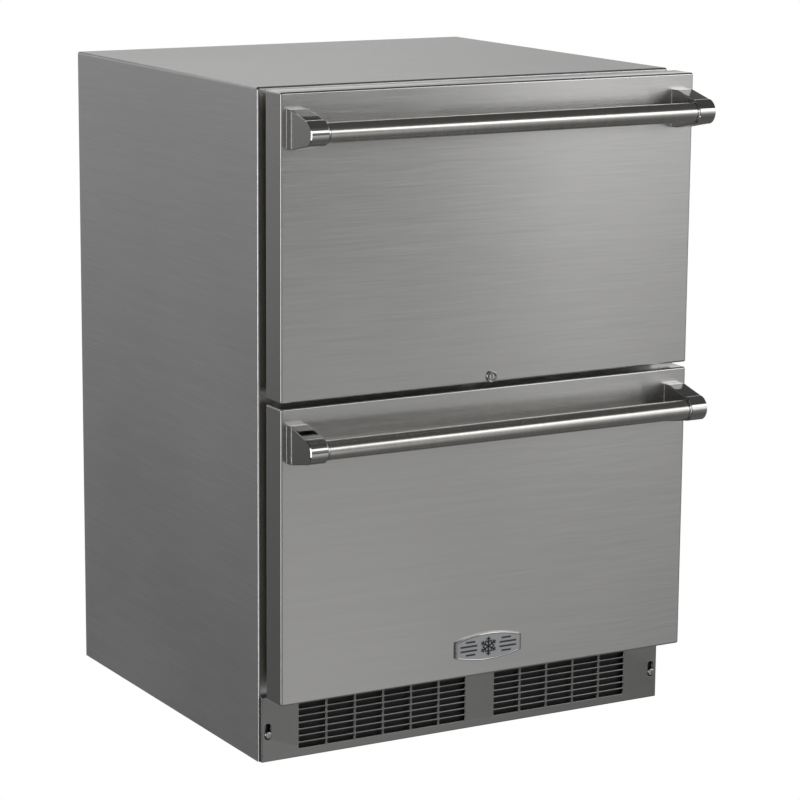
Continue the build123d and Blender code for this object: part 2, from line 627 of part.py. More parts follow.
with BuildPart() as light_lens:
    block((-160, 160), (-104, -88), (CEILING_Z - 6, CEILING_Z))
    fillet(light_lens.faces().sort_by(Axis.Z)[0].edges(), 3)
light_lens.part.label = "light_lens"
export_step(light_lens.part, "parts/light_lens.step")

# ---------------------------------------------------------------------------
# Slides: cabinet member, middle member and drawer member are channels that nest
# ---------------------------------------------------------------------------


def channel(side, z, web, height, flange_tip, thickness):
    """Slide member: web spans the X distances web, and its flanges reach to flange_tip."""
    ends = (SLIDE_START, SLIDE_START + SLIDE_LENGTH)
    spans = [(web, (z - height / 2, z + height / 2))]
    flange = (min(*web, flange_tip), max(*web, flange_tip))
    spans.append((flange, (z - height / 2, z - height / 2 + thickness)))
    spans.append((flange, (z + height / 2 - thickness, z + height / 2)))
    for x, heights in spans:
        block(tuple(sorted((side * x[0], side * x[1]))), ends, heights)


with BuildPart() as cabinet_slides:
    for z in (LOWER_SLIDE_Z, UPPER_SLIDE_Z):
        for side in (-1, 1):
            channel(side, z, (263.6, 265.0), 45.0, 254.6, 1.4)
cabinet_slides.part.label = "cabinet_slides"
export_step(cabinet_slides.part, "parts/cabinet_slides.step")

# ---------------------------------------------------------------------------
# Drawers
# ---------------------------------------------------------------------------

LOWER_BIN = (160.0, 405.0)
UPPER_BIN = (545.0, 790.0)
LOWER_BIN_STEP = (50.0, 270.0)  # Y where the lower bin's floor rises, and how high
RIM = 4.0  # how far a bin's rim stands out
RIM_HEIGHT = 6.0
drawers = (
    ("lower", LOWER_FRONT, LOWER_BIN, LOWER_SLIDE_Z, openings[0]),
    ("upper", UPPER_FRONT, UPPER_BIN, UPPER_SLIDE_Z, openings[1]),
)


def bin_outline(wall, floor_z, top_z, step=None):
    """Side outline (Y, Z) of a bin, shrunk by wall except at its top."""
    front_y = PLATEAU_BACK + wall
    back_y = BIN_BACK - wall
    ends = [(back_y, top_z), (front_y, top_z), (front_y, floor_z + wall)]
    if step is None:
        return ends + [(back_y, floor_z + wall)]
    step_y, step_z = step
    return ends + [(step_y - wall, floor_z + wall), (step_y - wall, step_z + wall), (back_y, step_z + wall)]


for level, (low, high), (bin_low, bin_high), slide_z, (open_low, open_high) in drawers:
    post_z = high - POST_BASE_DROP - POST_BASE_HEIGHT / 2
    bar_z = post_z - 0.6
    post_middle = POST_INNER + POST_WIDTH / 2
    screw_places = [
        (x, z)
        for x in (-post_middle, post_middle)
        for z in (post_z - SCREW_SPREAD, post_z + SCREW_SPREAD)
    ]
    has_lock = level == "upper"

    # Folded steel front
    with BuildPart() as hollow:
        block(
            (-FRONT_HALF + SKIN, FRONT_HALF - SKIN),
            (front_face + SKIN, front_back - SKIN),
            (low + SKIN, high - SKIN),
        )
        face_edges = hollow.faces().sort_by(Axis.Y)[0].edges()
        fillet(face_edges + hollow.edges().filter_by(Axis.Y), FRONT_EDGE - SKIN)
    with BuildPart() as skin:
        block((-FRONT_HALF, FRONT_HALF), (front_face, front_back), (low, high))
        face_edges = skin.faces().sort_by(Axis.Y)[0].edges()
        fillet(face_edges + skin.edges().filter_by(Axis.Y), FRONT_EDGE)
        add(hollow.part, mode=Mode.SUBTRACT)
        block(
            (-FRONT_HALF + LIP, FRONT_HALF - LIP),
            (front_back - 2 * SKIN, front_back),
            (low + LIP, high - LIP),
            Mode.SUBTRACT,
        )
        for x, z in screw_places:
            rod((x, front_face - 1, z), REARWARD, 3.2, 4, Mode.SUBTRACT)
        if has_lock:
            rod((0, front_face - 1, LOCK_Z), REARWARD, BARREL_RADIUS + 0.1, 60, Mode.SUBTRACT)
    skin.part.label = f"{level}_front_skin"
    export_step(skin.part, f"parts/{level}_front_skin.step")

    # Inner panel: a thin tray whose raised middle fits the cabinet's opening
    panel_back = front_back + PANEL_WALL
    plateau_low, plateau_high = open_low + 7, open_high - 7
    pocket_half = PLATEAU_HALF - PANEL_WALL
    with BuildPart() as inner_panel:
        block(
            (-FRONT_HALF + PANEL_INSET, FRONT_HALF - PANEL_INSET),
            (front_back, panel_back),
            (low + PANEL_INSET, high - PANEL_INSET),
        )
        block((-PLATEAU_HALF, PLATEAU_HALF), (front_back, PLATEAU_BACK), (plateau_low, plateau_high))
        block(
            (-pocket_half, pocket_half),
            (front_back, PLATEAU_BACK - PANEL_WALL),
            (plateau_low + PANEL_WALL, plateau_high - PANEL_WALL),
            Mode.SUBTRACT,
        )
    inner_panel.part.label = f"{level}_inner_panel"
    export_step(inner_panel.part, f"parts/{level}_inner_panel.step")

    # Foam inside the front, with pockets for the handle screws
    with BuildPart() as core:
        block(
            (-FRONT_HALF + 3, FRONT_HALF - 3),
            (front_face + SKIN + 0.1, front_back - SKIN - 0.1),
            (low + 3, high - 3),
        )
        block(
            (-pocket_half + 0.2, pocket_half - 0.2),
            (front_back - 3, PLATEAU_BACK - PANEL_WALL - 0.2),
            (plateau_low + PANEL_WALL + 0.2, plateau_high - PANEL_WALL - 0.2),
        )
        for x, z in screw_places:
            rod((x, front_face, z), REARWARD, 7, 8, Mode.SUBTRACT)
        if has_lock:
            rod((0, front_face, LOCK_Z), REARWARD, BARREL_RADIUS + 0.4, 60, Mode.SUBTRACT)
    core.part.label = f"{level}_core"
    export_step(core.part, f"parts/{level}_core.step")

    # Seal with a waist, clear of the cabinet when the drawer is shut
    seal_back = cabinet_front - SEAL_GAP
    seal_waist = (panel_back + 6, panel_back + 10)
    with BuildPart() as gasket:
        for inset, mode in ((SEAL_OUTER, Mode.ADD), (SEAL_INNER, Mode.SUBTRACT)):
            x = (-FRONT_HALF + inset, FRONT_HALF - inset)
            block(x, (panel_back, seal_back), (low + inset, high - inset), mode)
        with BuildSketch(facing_front(seal_waist[0])):
            outer, inner = SEAL_OUTER - 1, SEAL_OUTER + 3
            with Locations((0, (low + high) / 2)):
                Rectangle(2 * (FRONT_HALF - outer), high - low - 2 * outer)
                Rectangle(2 * (FRONT_HALF - inner), high - low - 2 * inner, mode=Mode.SUBTRACT)
        extrude(amount=seal_waist[0] - seal_waist[1], mode=Mode.SUBTRACT)
    gasket.part.label = f"{level}_gasket"
    export_step(gasket.part, f"parts/{level}_gasket.step")

    # Handle: two tapered posts, the bar between them and their screws
    with BuildPart() as posts:
        for x in (-POST_INNER - POST_WIDTH, POST_INNER):
            with BuildSketch(Plane.YZ.offset(x)):
                with Locations((bar_y, bar_z)):
                    Circle(POST_NOSE_RADIUS)
                with Locations((front_face - POST_FLANGE / 2, post_z)):
                    Rectangle(POST_FLANGE, POST_BASE_HEIGHT)
                make_hull()
            extrude(amount=POST_WIDTH)
        sides = posts.faces().filter_by(Axis.X)
        rims = sides.edges().filter_by(lambda edge: edge.center().Y < front_face - 0.5)
        fillet(rims, 1.2)
        for x, z in screw_places:
            rod((x, front_face + 1, z), FORWARD, 3.05, 20, Mode.SUBTRACT)
    posts.part.label = f"{level}_handle_posts"
    export_step(posts.part, f"parts/{level}_handle_posts.step")

    with BuildPart() as bar:
        with BuildSketch(Plane.YZ.offset(-POST_INNER)):
            with Locations((bar_y, bar_z)):
                Circle(BAR_RADIUS)
                Circle(BAR_RADIUS - BAR_WALL, mode=Mode.SUBTRACT)
        extrude(amount=2 * POST_INNER)
    bar.part.label = f"{level}_handle_bar"
    export_step(bar.part, f"parts/{level}_handle_bar.step")

    with BuildPart() as screws:
        for x, z in screw_places:
            rod((x, front_face + SKIN, z), REARWARD, 6, 4)
            rod((x, front_face + SKIN, z), FORWARD, 3, 18)
    screws.part.label = f"{level}_handle_screws"
    export_step(screws.part, f"parts/{level}_handle_screws.step")

    # Bin: a sheet tub with a rim; the lower one steps up over the machine space
    bin_step = LOWER_BIN_STEP if level == "lower" else None
    with BuildPart() as tub:
        with BuildSketch(Plane.YZ):
            with BuildLine():
                Polyline(*bin_outline(0, bin_low, bin_high, bin_step), close=True)
            make_face()
        extrude(amount=BIN_HALF, both=True)
        with BuildSketch(Plane.YZ):
            with BuildLine():
                Polyline(*bin_outline(BIN_WALL, bin_low, bin_high + 10, bin_step), close=True)
            make_face()
        extrude(amount=BIN_HALF - BIN_WALL, both=True, mode=Mode.SUBTRACT)
        block(
            (-BIN_HALF - RIM, BIN_HALF + RIM),
            (PLATEAU_BACK + 2 * RIM, BIN_BACK + RIM),
            (bin_high - RIM_HEIGHT, bin_high),
        )
        block(
            (-BIN_HALF + BIN_WALL, BIN_HALF - BIN_WALL),
            (PLATEAU_BACK + BIN_WALL, BIN_BACK - BIN_WALL),
            (bin_high - RIM_HEIGHT - 2, bin_high),
            Mode.SUBTRACT,
        )
        with BuildSketch(facing_front(BIN_BACK - BIN_WALL - 1)):
            with Locations((0, bin_high - 60)):
                with GridLocations(36, 0, 12, 1):
                    SlotOverall(60, 8, rotation=90)
        extrude(amount=-4, mode=Mode.SUBTRACT)
    tub.part.label = f"{level}_bin"
    export_step(tub.part, f"parts/{level}_bin.step")

    with BuildPart() as slide_middle:
        for side in (-1, 1):
            channel(side, slide_z, (262.0, 263.0), 40.4, 254.6, 1.0)
    slide_middle.part.label = f"{level}_slide_middle"
    export_step(slide_middle.part, f"parts/{level}_slide_middle.step")

    with BuildPart() as slide_inner:
        for side in (-1, 1):
            channel(side, slide_z, (BIN_HALF, BIN_HALF + 1.2), 36.0, 260.8, 1.0)
    slide_inner.part.label = f"{level}_slide_inner"
    export_step(slide_inner.part, f"parts/{level}_slide_inner.step")

# Name plate: straight ends, arched top and bottom
BADGE_Z = 136.3
BADGE_HALF = 49.5
BADGE_END = 11.0  # half height at an end
BADGE_MIDDLE = 18.0  # half height in the middle
BADGE_THICKNESS = 3.5
with BuildPart() as badge:
    with BuildSketch(facing_front(front_face)):
        low_left = (-BADGE_HALF, BADGE_Z - BADGE_END)
        high_left = (-BADGE_HALF, BADGE_Z + BADGE_END)
        low_right = (BADGE_HALF, BADGE_Z - BADGE_END)
        high_right = (BADGE_HALF, BADGE_Z + BADGE_END)
        with BuildLine():
            Line(low_left, high_left)
            ThreePointArc(high_left, (0, BADGE_Z + BADGE_MIDDLE), high_right)
            Line(high_right, low_right)
            ThreePointArc(low_right, (0, BADGE_Z - BADGE_MIDDLE), low_left)
        make_face()
    extrude(amount=BADGE_THICKNESS)
    chamfer(badge.faces().sort_by(Axis.Y)[0].edges(), 0.8)
badge.part.label = "badge"
export_step(badge.part, "parts/badge.step")

# ---------------------------------------------------------------------------
# Lock: the plug turns in its housing, and its cam drops behind the strike
# ---------------------------------------------------------------------------

with BuildPart() as lock_housing:
    rod((0, front_face, LOCK_Z), FORWARD, LOCK_RING_RADIUS, 2.5)
    fillet(lock_housing.edges().filter_by(GeomType.CIRCLE).sort_by(Axis.Y)[0], 1)
    rod((0, front_face, LOCK_Z), REARWARD, BARREL_RADIUS, 43.5)
    rod((0, front_face - 5, LOCK_Z), REARWARD, PLUG_RADIUS + RUNNING_CLEARANCE, 60, Mode.SUBTRACT)
lock_housing.part.label = "lock_housing"
export_step(lock_housing.part, "parts/lock_housing.step")

with BuildPart() as lock_plug:
    plug_front = front_face - 2
    rod((0, plug_front, LOCK_Z), REARWARD, PLUG_RADIUS, CAM_BACK - plug_front)
    block((-0.7, 0.7), (plug_front, plug_front + 3), (LOCK_Z - 3, LOCK_Z + 3), Mode.SUBTRACT)
    block((-5, CAM_REACH), (CAM_BACK - CAM_THICKNESS, CAM_BACK), (LOCK_Z - 5, LOCK_Z + 5))
lock_plug.part.label = "lock_plug"
export_step(lock_plug.part, "parts/lock_plug.step")

STRIKE_Z = (468.0, 483.0)
STRIKE_SHEET = 1.5
STRIKE_REACH = 10.0
with BuildPart() as lock_strike:
    block((-32, -14), (cabinet_front - STRIKE_SHEET, cabinet_front), STRIKE_Z)
    block((-14 - STRIKE_SHEET, -14), (cabinet_front - STRIKE_REACH, cabinet_front), STRIKE_Z)
    hook_back = cabinet_front - STRIKE_REACH + STRIKE_SHEET
    block((-14 - STRIKE_SHEET, 8), (cabinet_front - STRIKE_REACH, hook_back), STRIKE_Z)
lock_strike.part.label = "lock_strike"
export_step(lock_strike.part, "parts/lock_strike.step")
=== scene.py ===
import json
import math

import bmesh
import bpy
from mathutils import Matrix, Vector


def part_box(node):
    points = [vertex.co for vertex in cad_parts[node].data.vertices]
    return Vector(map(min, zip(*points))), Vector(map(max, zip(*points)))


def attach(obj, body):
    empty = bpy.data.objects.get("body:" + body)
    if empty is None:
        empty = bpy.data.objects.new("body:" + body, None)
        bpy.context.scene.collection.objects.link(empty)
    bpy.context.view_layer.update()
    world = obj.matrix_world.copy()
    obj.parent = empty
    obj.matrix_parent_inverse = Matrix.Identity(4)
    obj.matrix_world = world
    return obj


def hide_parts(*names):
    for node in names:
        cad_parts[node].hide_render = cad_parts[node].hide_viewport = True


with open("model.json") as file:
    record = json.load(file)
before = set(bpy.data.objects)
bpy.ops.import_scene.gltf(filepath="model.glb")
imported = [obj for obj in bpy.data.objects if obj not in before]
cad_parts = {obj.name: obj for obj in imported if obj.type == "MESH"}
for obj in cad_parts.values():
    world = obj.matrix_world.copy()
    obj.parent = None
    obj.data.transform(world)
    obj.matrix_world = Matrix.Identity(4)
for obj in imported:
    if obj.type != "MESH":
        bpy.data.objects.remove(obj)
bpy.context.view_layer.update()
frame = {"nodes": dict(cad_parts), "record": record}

scene = bpy.context.scene
MM = 0.001

# ---------------------------------------------------------------------------
# Camera, stage and light
# ---------------------------------------------------------------------------

CAMERA_PLACE = (-1.9508, -3.4567, 1.2313)
CAMERA_AZIMUTH = -29.69
CAMERA_DOWN = 11.65
CAMERA_ROLL = 0.44
CAMERA_LENS = 134.3


def make_camera():
    data = bpy.data.cameras.new("camera")
    data.lens = CAMERA_LENS
    data.sensor_width = 36
    data.clip_start = 0.05
    data.clip_end = 60
    camera = bpy.data.objects.new("camera", data)
    turn = Matrix.Rotation(math.radians(CAMERA_AZIMUTH), 4, "Z")
    tilt = Matrix.Rotation(math.radians(90 - CAMERA_DOWN), 4, "X")
    roll = Matrix.Rotation(math.radians(CAMERA_ROLL), 4, "Z")
    camera.matrix_world = Matrix.Translation(CAMERA_PLACE) @ turn @ tilt @ roll
    scene.collection.objects.link(camera)
    scene.camera = camera


def node(tree, kind, **values):
    """Adds a shader node and sets its inputs, or its properties where a name isn't an input's."""
    made = tree.nodes.new(kind)
    for name, value in values.items():
        if name in made.inputs:
            made.inputs[name].default_value = value
        else:
            setattr(made, name, value)
    return made


def grey_ramp(tree, stops):
    """Colour ramp of greys from (position, grey) stops."""
    ramp = node(tree, "ShaderNodeValToRGB")
    elements = ramp.color_ramp.elements
    while len(elements) < len(stops):
        elements.new(0.5)
    for element, (position, grey) in zip(elements, stops):
        element.position = position
        element.color = (grey, grey, grey, 1)
    return ramp


# Greys that the metal sees, from straight down (0) through the horizon (0.5) to straight up (1)
STUDIO_GREYS = [
    (0.0, 0.12),
    (0.30, 0.10),
    (0.38, 0.11),
    (0.47, 0.34),
    (0.53, 0.60),
    (0.60, 0.66),
    (0.66, 0.30),
    (0.74, 0.06),
    (0.95, 0.07),
    (1.0, 0.12),
]
# Upright bands ahead and to the right: the bearings, clockwise from straight ahead of the fronts,
# where they start and end, and their strengths in shares of BAND_GAIN. Elsewhere the strength is 1.
BAND_BEARINGS = (math.radians(20), math.radians(45))
LEVEL_BANDS = [
    (0.0, 0.20),
    (0.2, 0.08),
    (0.31, 0.08),
    (0.40, 0.15),
    (0.47, 0.30),
    (0.505, 0.50),
    (0.56, 0.40),
    (0.62, 0.35),
    (1.0, 0.20),
]
LOW_BANDS = [
    (0.0, 0.20),
    (0.25, 1.0),
    (0.40, 0.96),
    (0.47, 0.72),
    (0.52, 0.60),
    (0.57, 0.44),
    (0.65, 0.38),
    (1.0, 0.20),
]
BAND_GAIN = 5.0


def world_range(tree, source, span, onto):
    """Maps source from span onto the two values of onto, clamped."""
    made = node(tree, "ShaderNodeMapRange")
    made.inputs["From Min"].default_value = span[0]
    made.inputs["From Max"].default_value = span[1]
    made.inputs["To Min"].default_value = onto[0]
    made.inputs["To Max"].default_value = onto[1]
    tree.links.new(source, made.inputs["Value"])
    return made.outputs["Result"]


def make_world():
    """White to the camera. The metal sees a dark ceiling, a lit horizon and a dark floor."""
    world = bpy.data.worlds.new("studio")
    scene.world = world
    world.use_nodes = True
    tree = world.node_tree
    tree.nodes.clear()
    out = node(tree, "ShaderNodeOutputWorld")
    coords = node(tree, "ShaderNodeTexCoord")
    split = node(tree, "ShaderNodeSeparateXYZ")
    tree.links.new(coords.outputs["Generated"], split.inputs[0])
    height = node(tree, "ShaderNodeMapRange")
    height.inputs["From Min"].default_value = -1
    tree.links.new(split.outputs["Z"], height.inputs["Value"])
    ramp = grey_ramp(tree, STUDIO_GREYS)
    tree.links.new(height.outputs["Result"], ramp.inputs[0])
    side = world_range(tree, split.outputs["X"], (-0.7, 0.7), (0.75, 1.15))
    # Ahead and to the right, upright bands: one pattern level with the eye, another lower down
    behind = node(tree, "ShaderNodeMath", operation="MULTIPLY")
    behind.inputs[1].default_value = -1
    tree.links.new(split.outputs["Y"], behind.inputs[0])
    bearing = node(tree, "ShaderNodeMath", operation="ARCTAN2")
    tree.links.new(split.outputs["X"], bearing.inputs[0])
    tree.links.new(behind.outputs[0], bearing.inputs[1])
    across = world_range(tree, bearing.outputs[0], BAND_BEARINGS, (0, 1))
    level_bands = grey_ramp(tree, LEVEL_BANDS)
    low_bands = grey_ramp(tree, LOW_BANDS)
    for bands in (level_bands, low_bands):
        tree.links.new(across, bands.inputs[0])
    lowness = world_range(tree, split.outputs["Z"], (-0.17, -0.22), (0, 1))
    bands = node(tree, "ShaderNodeMix", data_type="FLOAT")
    tree.links.new(lowness, bands.inputs[0])
    tree.links.new(level_bands.outputs["Color"], bands.inputs[2])
    tree.links.new(low_bands.outputs["Color"], bands.inputs[3])
    gained = node(tree, "ShaderNodeMath", operation="MULTIPLY")
    gained.inputs[1].default_value = BAND_GAIN
    tree.links.new(bands.outputs[0], gained.inputs[0])
    strength = node(tree, "ShaderNodeMath", operation="MULTIPLY")
    tree.links.new(side, strength.inputs[0])
    tree.links.new(gained.outputs[0], strength.inputs[1])
    seen = node(tree, "ShaderNodeLightPath")
    grey = node(tree, "ShaderNodeBackground", Strength=1.0)
    white = node(tree, "ShaderNodeBackground", Color=(1, 1, 1, 1), Strength=1.0)
    mix = node(tree, "ShaderNodeMixShader")
    tree.links.new(ramp.outputs["Color"], grey.inputs["Color"])
    tree.links.new(strength.outputs[0], grey.inputs["Strength"])
    tree.links.new(seen.outputs["Is Camera Ray"], mix.inputs["Fac"])
    tree.links.new(grey.outputs[0], mix.inputs[1])
    tree.links.new(white.outputs[0], mix.inputs[2])
    tree.links.new(mix.outputs[0], out.inputs["Surface"])


def make_floor():
    """White paper to the camera; the object's metal sees the studio's own gradient instead."""
    mesh = bpy.data.meshes.new("floor")
    reach = 14.0
    corners = [(-reach, -reach, 0), (reach, -reach, 0), (reach, reach, 0), (-reach, reach, 0)]
    mesh.from_pydata(corners, [], [(0, 1, 2, 3)])
    floor = bpy.data.objects.new("floor", mesh)
    scene.collection.objects.link(floor)
    material = bpy.data.materials.new("floor_paper")
    material.use_nodes = True
    tree = material.node_tree
    tree.nodes.clear()
    out = node(tree, "ShaderNodeOutputMaterial")
    seen = node(tree, "ShaderNodeLightPath")
    white = node(tree, "ShaderNodeEmission", Color=(1, 1, 1, 1), Strength=1.0)
    clear = node(tree, "ShaderNodeBsdfTransparent")
    mix = node(tree, "ShaderNodeMixShader")
    tree.links.new(seen.outputs["Is Camera Ray"], mix.inputs["Fac"])
    tree.links.new(clear.outputs[0], mix.inputs[1])
    tree.links.new(white.outputs[0], mix.inputs[2])
    tree.links.new(mix.outputs[0], out.inputs["Surface"])
    mesh.materials.append(material)


def soft_box(name, place, target, width, height, radiance):
    """Rectangular light whose face is as bright as radiance, where 1 is the white background."""
    data = bpy.data.lights.new(name, "AREA")
    data.shape = "RECTANGLE"
    data.size = width
    data.size_y = height
    data.energy = radiance * math.pi * width * height
    light = bpy.data.objects.new(name, data)
    light.location = place
    direction = Vector(target) - Vector(place)
    light.rotation_euler = direction.to_track_quat("-Z", "Y").to_euler()
    light.visible_camera = False
    scene.collection.objects.link(light)
    return light


make_camera()
make_world()
make_floor()
# The high box lights the bars, the left one draws the bright lines along upright edges, and the
# other two light the faces that the camera doesn't see
soft_box("high_front", (1.75, -3.0, 1.8), (0, -0.3, 0.8), 1.6, 1.0, 1.5)
soft_box("edge_left", (-3.05, -1.15, 0.3), (-0.3, -0.2, 0.5), 1.1, 2.6, 2.2)
soft_box("right", (3.4, -0.6, 1.7), (0.3, 0, 0.4), 2.4, 1.6, 1.2)
soft_box("behind", (-0.2, 2.8, 3.0), (0, 0.1, 0.8), 3.0, 1.4, 0.9)
scene.view_settings.view_transform = "Standard"

# ---------------------------------------------------------------------------
# Materials
# ---------------------------------------------------------------------------


def new_material(name):
    material = bpy.data.materials.new(name)
    material.use_nodes = True
    tree = material.node_tree
    return material, tree, tree.nodes["Principled BSDF"]


def noise(tree, scale, detail=3.0):
    """Noise in the object's own space, stretched by scale along each axis."""
    coords = node(tree, "ShaderNodeTexCoord")
    mapping = node(tree, "ShaderNodeMapping")
    mapping.inputs["Scale"].default_value = scale
    made = node(tree, "ShaderNodeTexNoise", Scale=1.0, Detail=detail, Roughness=0.5)
    tree.links.new(coords.outputs["Object"], mapping.inputs["Vector"])
    tree.links.new(mapping.outputs["Vector"], made.inputs["Vector"])
    return made.outputs["Fac"]


def spread(tree, source, low, high, start=0.3, end=0.7):
    """Maps source's range from start to end onto low to high."""
    made = node(tree, "ShaderNodeMapRange")
    made.inputs["From Min"].default_value = start
    made.inputs["From Max"].default_value = end
    made.inputs["To Min"].default_value = low
    made.inputs["To Max"].default_value = high
    tree.links.new(source, made.inputs["Value"])
    return made.outputs["Result"]


def tinted(tree, value, tint):
    """The colour tint, scaled by value."""
    made = node(tree, "ShaderNodeVectorMath", operation="SCALE")
    made.inputs[0].default_value = tint
    tree.links.new(value, made.inputs["Scale"])
    return made.outputs["Vector"]


def product(tree, *values):
    total = values[0]
    for value in values[1:]:
        made = node(tree, "ShaderNodeMath", operation="MULTIPLY")
        tree.links.new(total, made.inputs[0])
        tree.links.new(value, made.inputs[1])
        total = made.outputs["Value"]
    return total


def edge_wear(tree, gain):
    """Rubbed edges: 1 on flat faces, rising to gain on sharp convex ones."""
    geometry = node(tree, "ShaderNodeNewGeometry")
    return spread(tree, geometry.outputs["Pointiness"], 1.0, gain, 0.52, 0.60)


def raise_bumps(tree, shader, height, strength, distance):
    bump = node(tree, "ShaderNodeBump", Strength=strength, Distance=distance)
    tree.links.new(height, bump.inputs["Height"])
    tree.links.new(bump.outputs["Normal"], shader.inputs["Normal"])


GRAIN_ALONG = 12.0
GRAIN_ACROSS = 1500.0


def brushed_steel(name, tint, roughness, lines, stretch=0.8, turn=0.25, tangent="Z", contrast=0.04):
    """Steel whose fine grain runs along the axes in lines, and whose reflections smear across it."""
    material, tree, shader = new_material(name)
    fine = noise(tree, [GRAIN_ALONG if axis in lines else GRAIN_ACROSS for axis in "XYZ"], 2.0)
    streaks = noise(tree, [1.6 if axis in lines else 90.0 for axis in "XYZ"], 1.0)
    cloud = noise(tree, (3, 3, 3), 2.0)
    value = product(
        tree,
        spread(tree, fine, 1 - contrast, 1 + contrast),
        spread(tree, streaks, 1 - contrast / 4, 1 + contrast / 4),
        spread(tree, cloud, 0.98, 1.02),
        edge_wear(tree, 1.15),
    )
    tree.links.new(tinted(tree, value, tint), shader.inputs["Base Color"])
    rough = product(
        tree,
        spread(tree, fine, roughness * 0.92, roughness * 1.08),
        spread(tree, cloud, 0.95, 1.05),
    )
    tree.links.new(rough, shader.inputs["Roughness"])
    raise_bumps(tree, shader, fine, 0.06, 0.00002)
    shader.inputs["Metallic"].default_value = 1.0
    shader.inputs["Anisotropic"].default_value = stretch
    shader.inputs["Anisotropic Rotation"].default_value = turn
    direction = node(tree, "ShaderNodeTangent", direction_type="RADIAL", axis=tangent)
    tree.links.new(direction.outputs["Tangent"], shader.inputs["Tangent"])
    return material


def polished_metal(name, tint, roughness, smudge_scale=45.0):
    """Plated or drawn metal with faint smudges and ripples."""
    material, tree, shader = new_material(name)
    smudge = noise(tree, (smudge_scale,) * 3, 4.0)
    ripple = noise(tree, (smudge_scale * 5,) * 3, 2.0)
    tree.links.new(spread(tree, smudge, roughness * 0.6, roughness * 1.8), shader.inputs["Roughness"])
    value = product(tree, spread(tree, ripple, 0.97, 1.03), edge_wear(tree, 1.1))
    tree.links.new(tinted(tree, value, tint), shader.inputs["Base Color"])
    raise_bumps(tree, shader, smudge, 0.06, 0.00006)
    shader.inputs["Metallic"].default_value = 1.0
    return material


def moulded(name, tint, roughness, grain=900.0, depth=0.05, metallic=0.0, vary=0.04):
    """Moulded plastic, rubber, paint or foam: fine pits, soft mottling and rubbed edges."""
    material, tree, shader = new_material(name)
    pits = noise(tree, (grain,) * 3, 3.0)
    cloud = noise(tree, (14, 14, 14), 3.0)
    value = product(
        tree,
        spread(tree, cloud, 1 - vary, 1 + vary),
        spread(tree, pits, 1 - vary, 1 + vary),
        edge_wear(tree, 1.25),
    )
    tree.links.new(tinted(tree, value, tint), shader.inputs["Base Color"])
    tree.links.new(spread(tree, pits, roughness * 0.85, roughness * 1.15), shader.inputs["Roughness"])
    raise_bumps(tree, shader, pits, 0.3, depth * MM)
    shader.inputs["Metallic"].default_value = metallic
    return material


def zinc_spangle(name, tint, roughness):
    """Galvanised sheet: crystal patches of slightly different grey."""
    material, tree, shader = new_material(name)
    coords = node(tree, "ShaderNodeTexCoord")
    cells = node(tree, "ShaderNodeTexVoronoi", Scale=110.0, Randomness=1.0)
    tree.links.new(coords.outputs["Object"], cells.inputs["Vector"])
    patch = node(tree, "ShaderNodeSeparateColor")
    tree.links.new(cells.outputs["Color"], patch.inputs[0])
    fine = noise(tree, (700, 700, 700), 2.0)
    value = product(
        tree,
        spread(tree, patch.outputs[0], 0.88, 1.08, 0.0, 1.0),
        spread(tree, fine, 0.97, 1.03),
        edge_wear(tree, 1.15),
    )
    tree.links.new(tinted(tree, value, tint), shader.inputs["Base Color"])
    rough = spread(tree, patch.outputs[1], roughness * 0.8, roughness * 1.2, 0.0, 1.0)
    tree.links.new(rough, shader.inputs["Roughness"])
    raise_bumps(tree, shader, fine, 0.1, 0.00003)
    shader.inputs["Metallic"].default_value = 1.0
    return material


MATERIALS = {
    "stainless": brushed_steel("stainless", (0.69, 0.69, 0.695), 0.34, "Y", contrast=0.055),
    "stainless_front": brushed_steel(
        "stainless_front", (0.62, 0.617, 0.607), 0.18, "X", 0.95, contrast=0.04
    ),
    "stainless_rail": brushed_steel("stainless_rail", (0.58, 0.578, 0.57), 0.3, "X"),
    # The grille's steel is tinted far darker than the other stainless: painted shade on the low panel
    "grille_steel": brushed_steel("grille_steel", (0.30, 0.297, 0.29), 0.24, "X", 0.6),
    "chrome": polished_metal("chrome", (0.6, 0.595, 0.58), 0.05),
    "bar_steel": brushed_steel("bar_steel", (0.66, 0.65, 0.62), 0.2, "YZ", 0.3, 0.0, "X", 0.1),
    "seal_rubber": moulded("seal_rubber", (0.025, 0.025, 0.025), 0.6),
    "liner_plastic": moulded("liner_plastic", (0.66, 0.67, 0.68), 0.3, depth=0.02),
    "strip_plastic": moulded("strip_plastic", (0.03, 0.03, 0.03), 0.45),
    "foam": moulded("foam", (0.78, 0.66, 0.38), 0.9, grain=400, depth=0.4),
    "galvanised": zinc_spangle("galvanised", (0.6, 0.62, 0.63), 0.36),
    "compressor_black": moulded("compressor_black", (0.02, 0.02, 0.02), 0.3, grain=300),
    "copper": polished_metal("copper", (0.75, 0.4, 0.26), 0.22),
    "aluminium": polished_metal("aluminium", (0.75, 0.76, 0.77), 0.3),
    "condenser_black": moulded("condenser_black", (0.025, 0.025, 0.025), 0.45, grain=300),
    "black_plastic": moulded("black_plastic", (0.025, 0.025, 0.027), 0.45),
    "rubber": moulded("rubber", (0.025, 0.025, 0.025), 0.7),
    "bin_steel": brushed_steel("bin_steel", (0.62, 0.62, 0.62), 0.32, "X"),
    "slide_steel": brushed_steel("slide_steel", (0.62, 0.63, 0.64), 0.25, "Y"),
    "screw_steel": polished_metal("screw_steel", (0.62, 0.61, 0.6), 0.16, 120.0),
    "badge_metal": moulded("badge_metal", (0.72, 0.74, 0.76), 0.35, 1200.0, 0.01, 0.35, 0.02),
    "button_plastic": moulded("button_plastic", (0.06, 0.06, 0.065), 0.4),
    "lens": moulded("lens", (0.9, 0.91, 0.93), 0.25, depth=0.01),
}
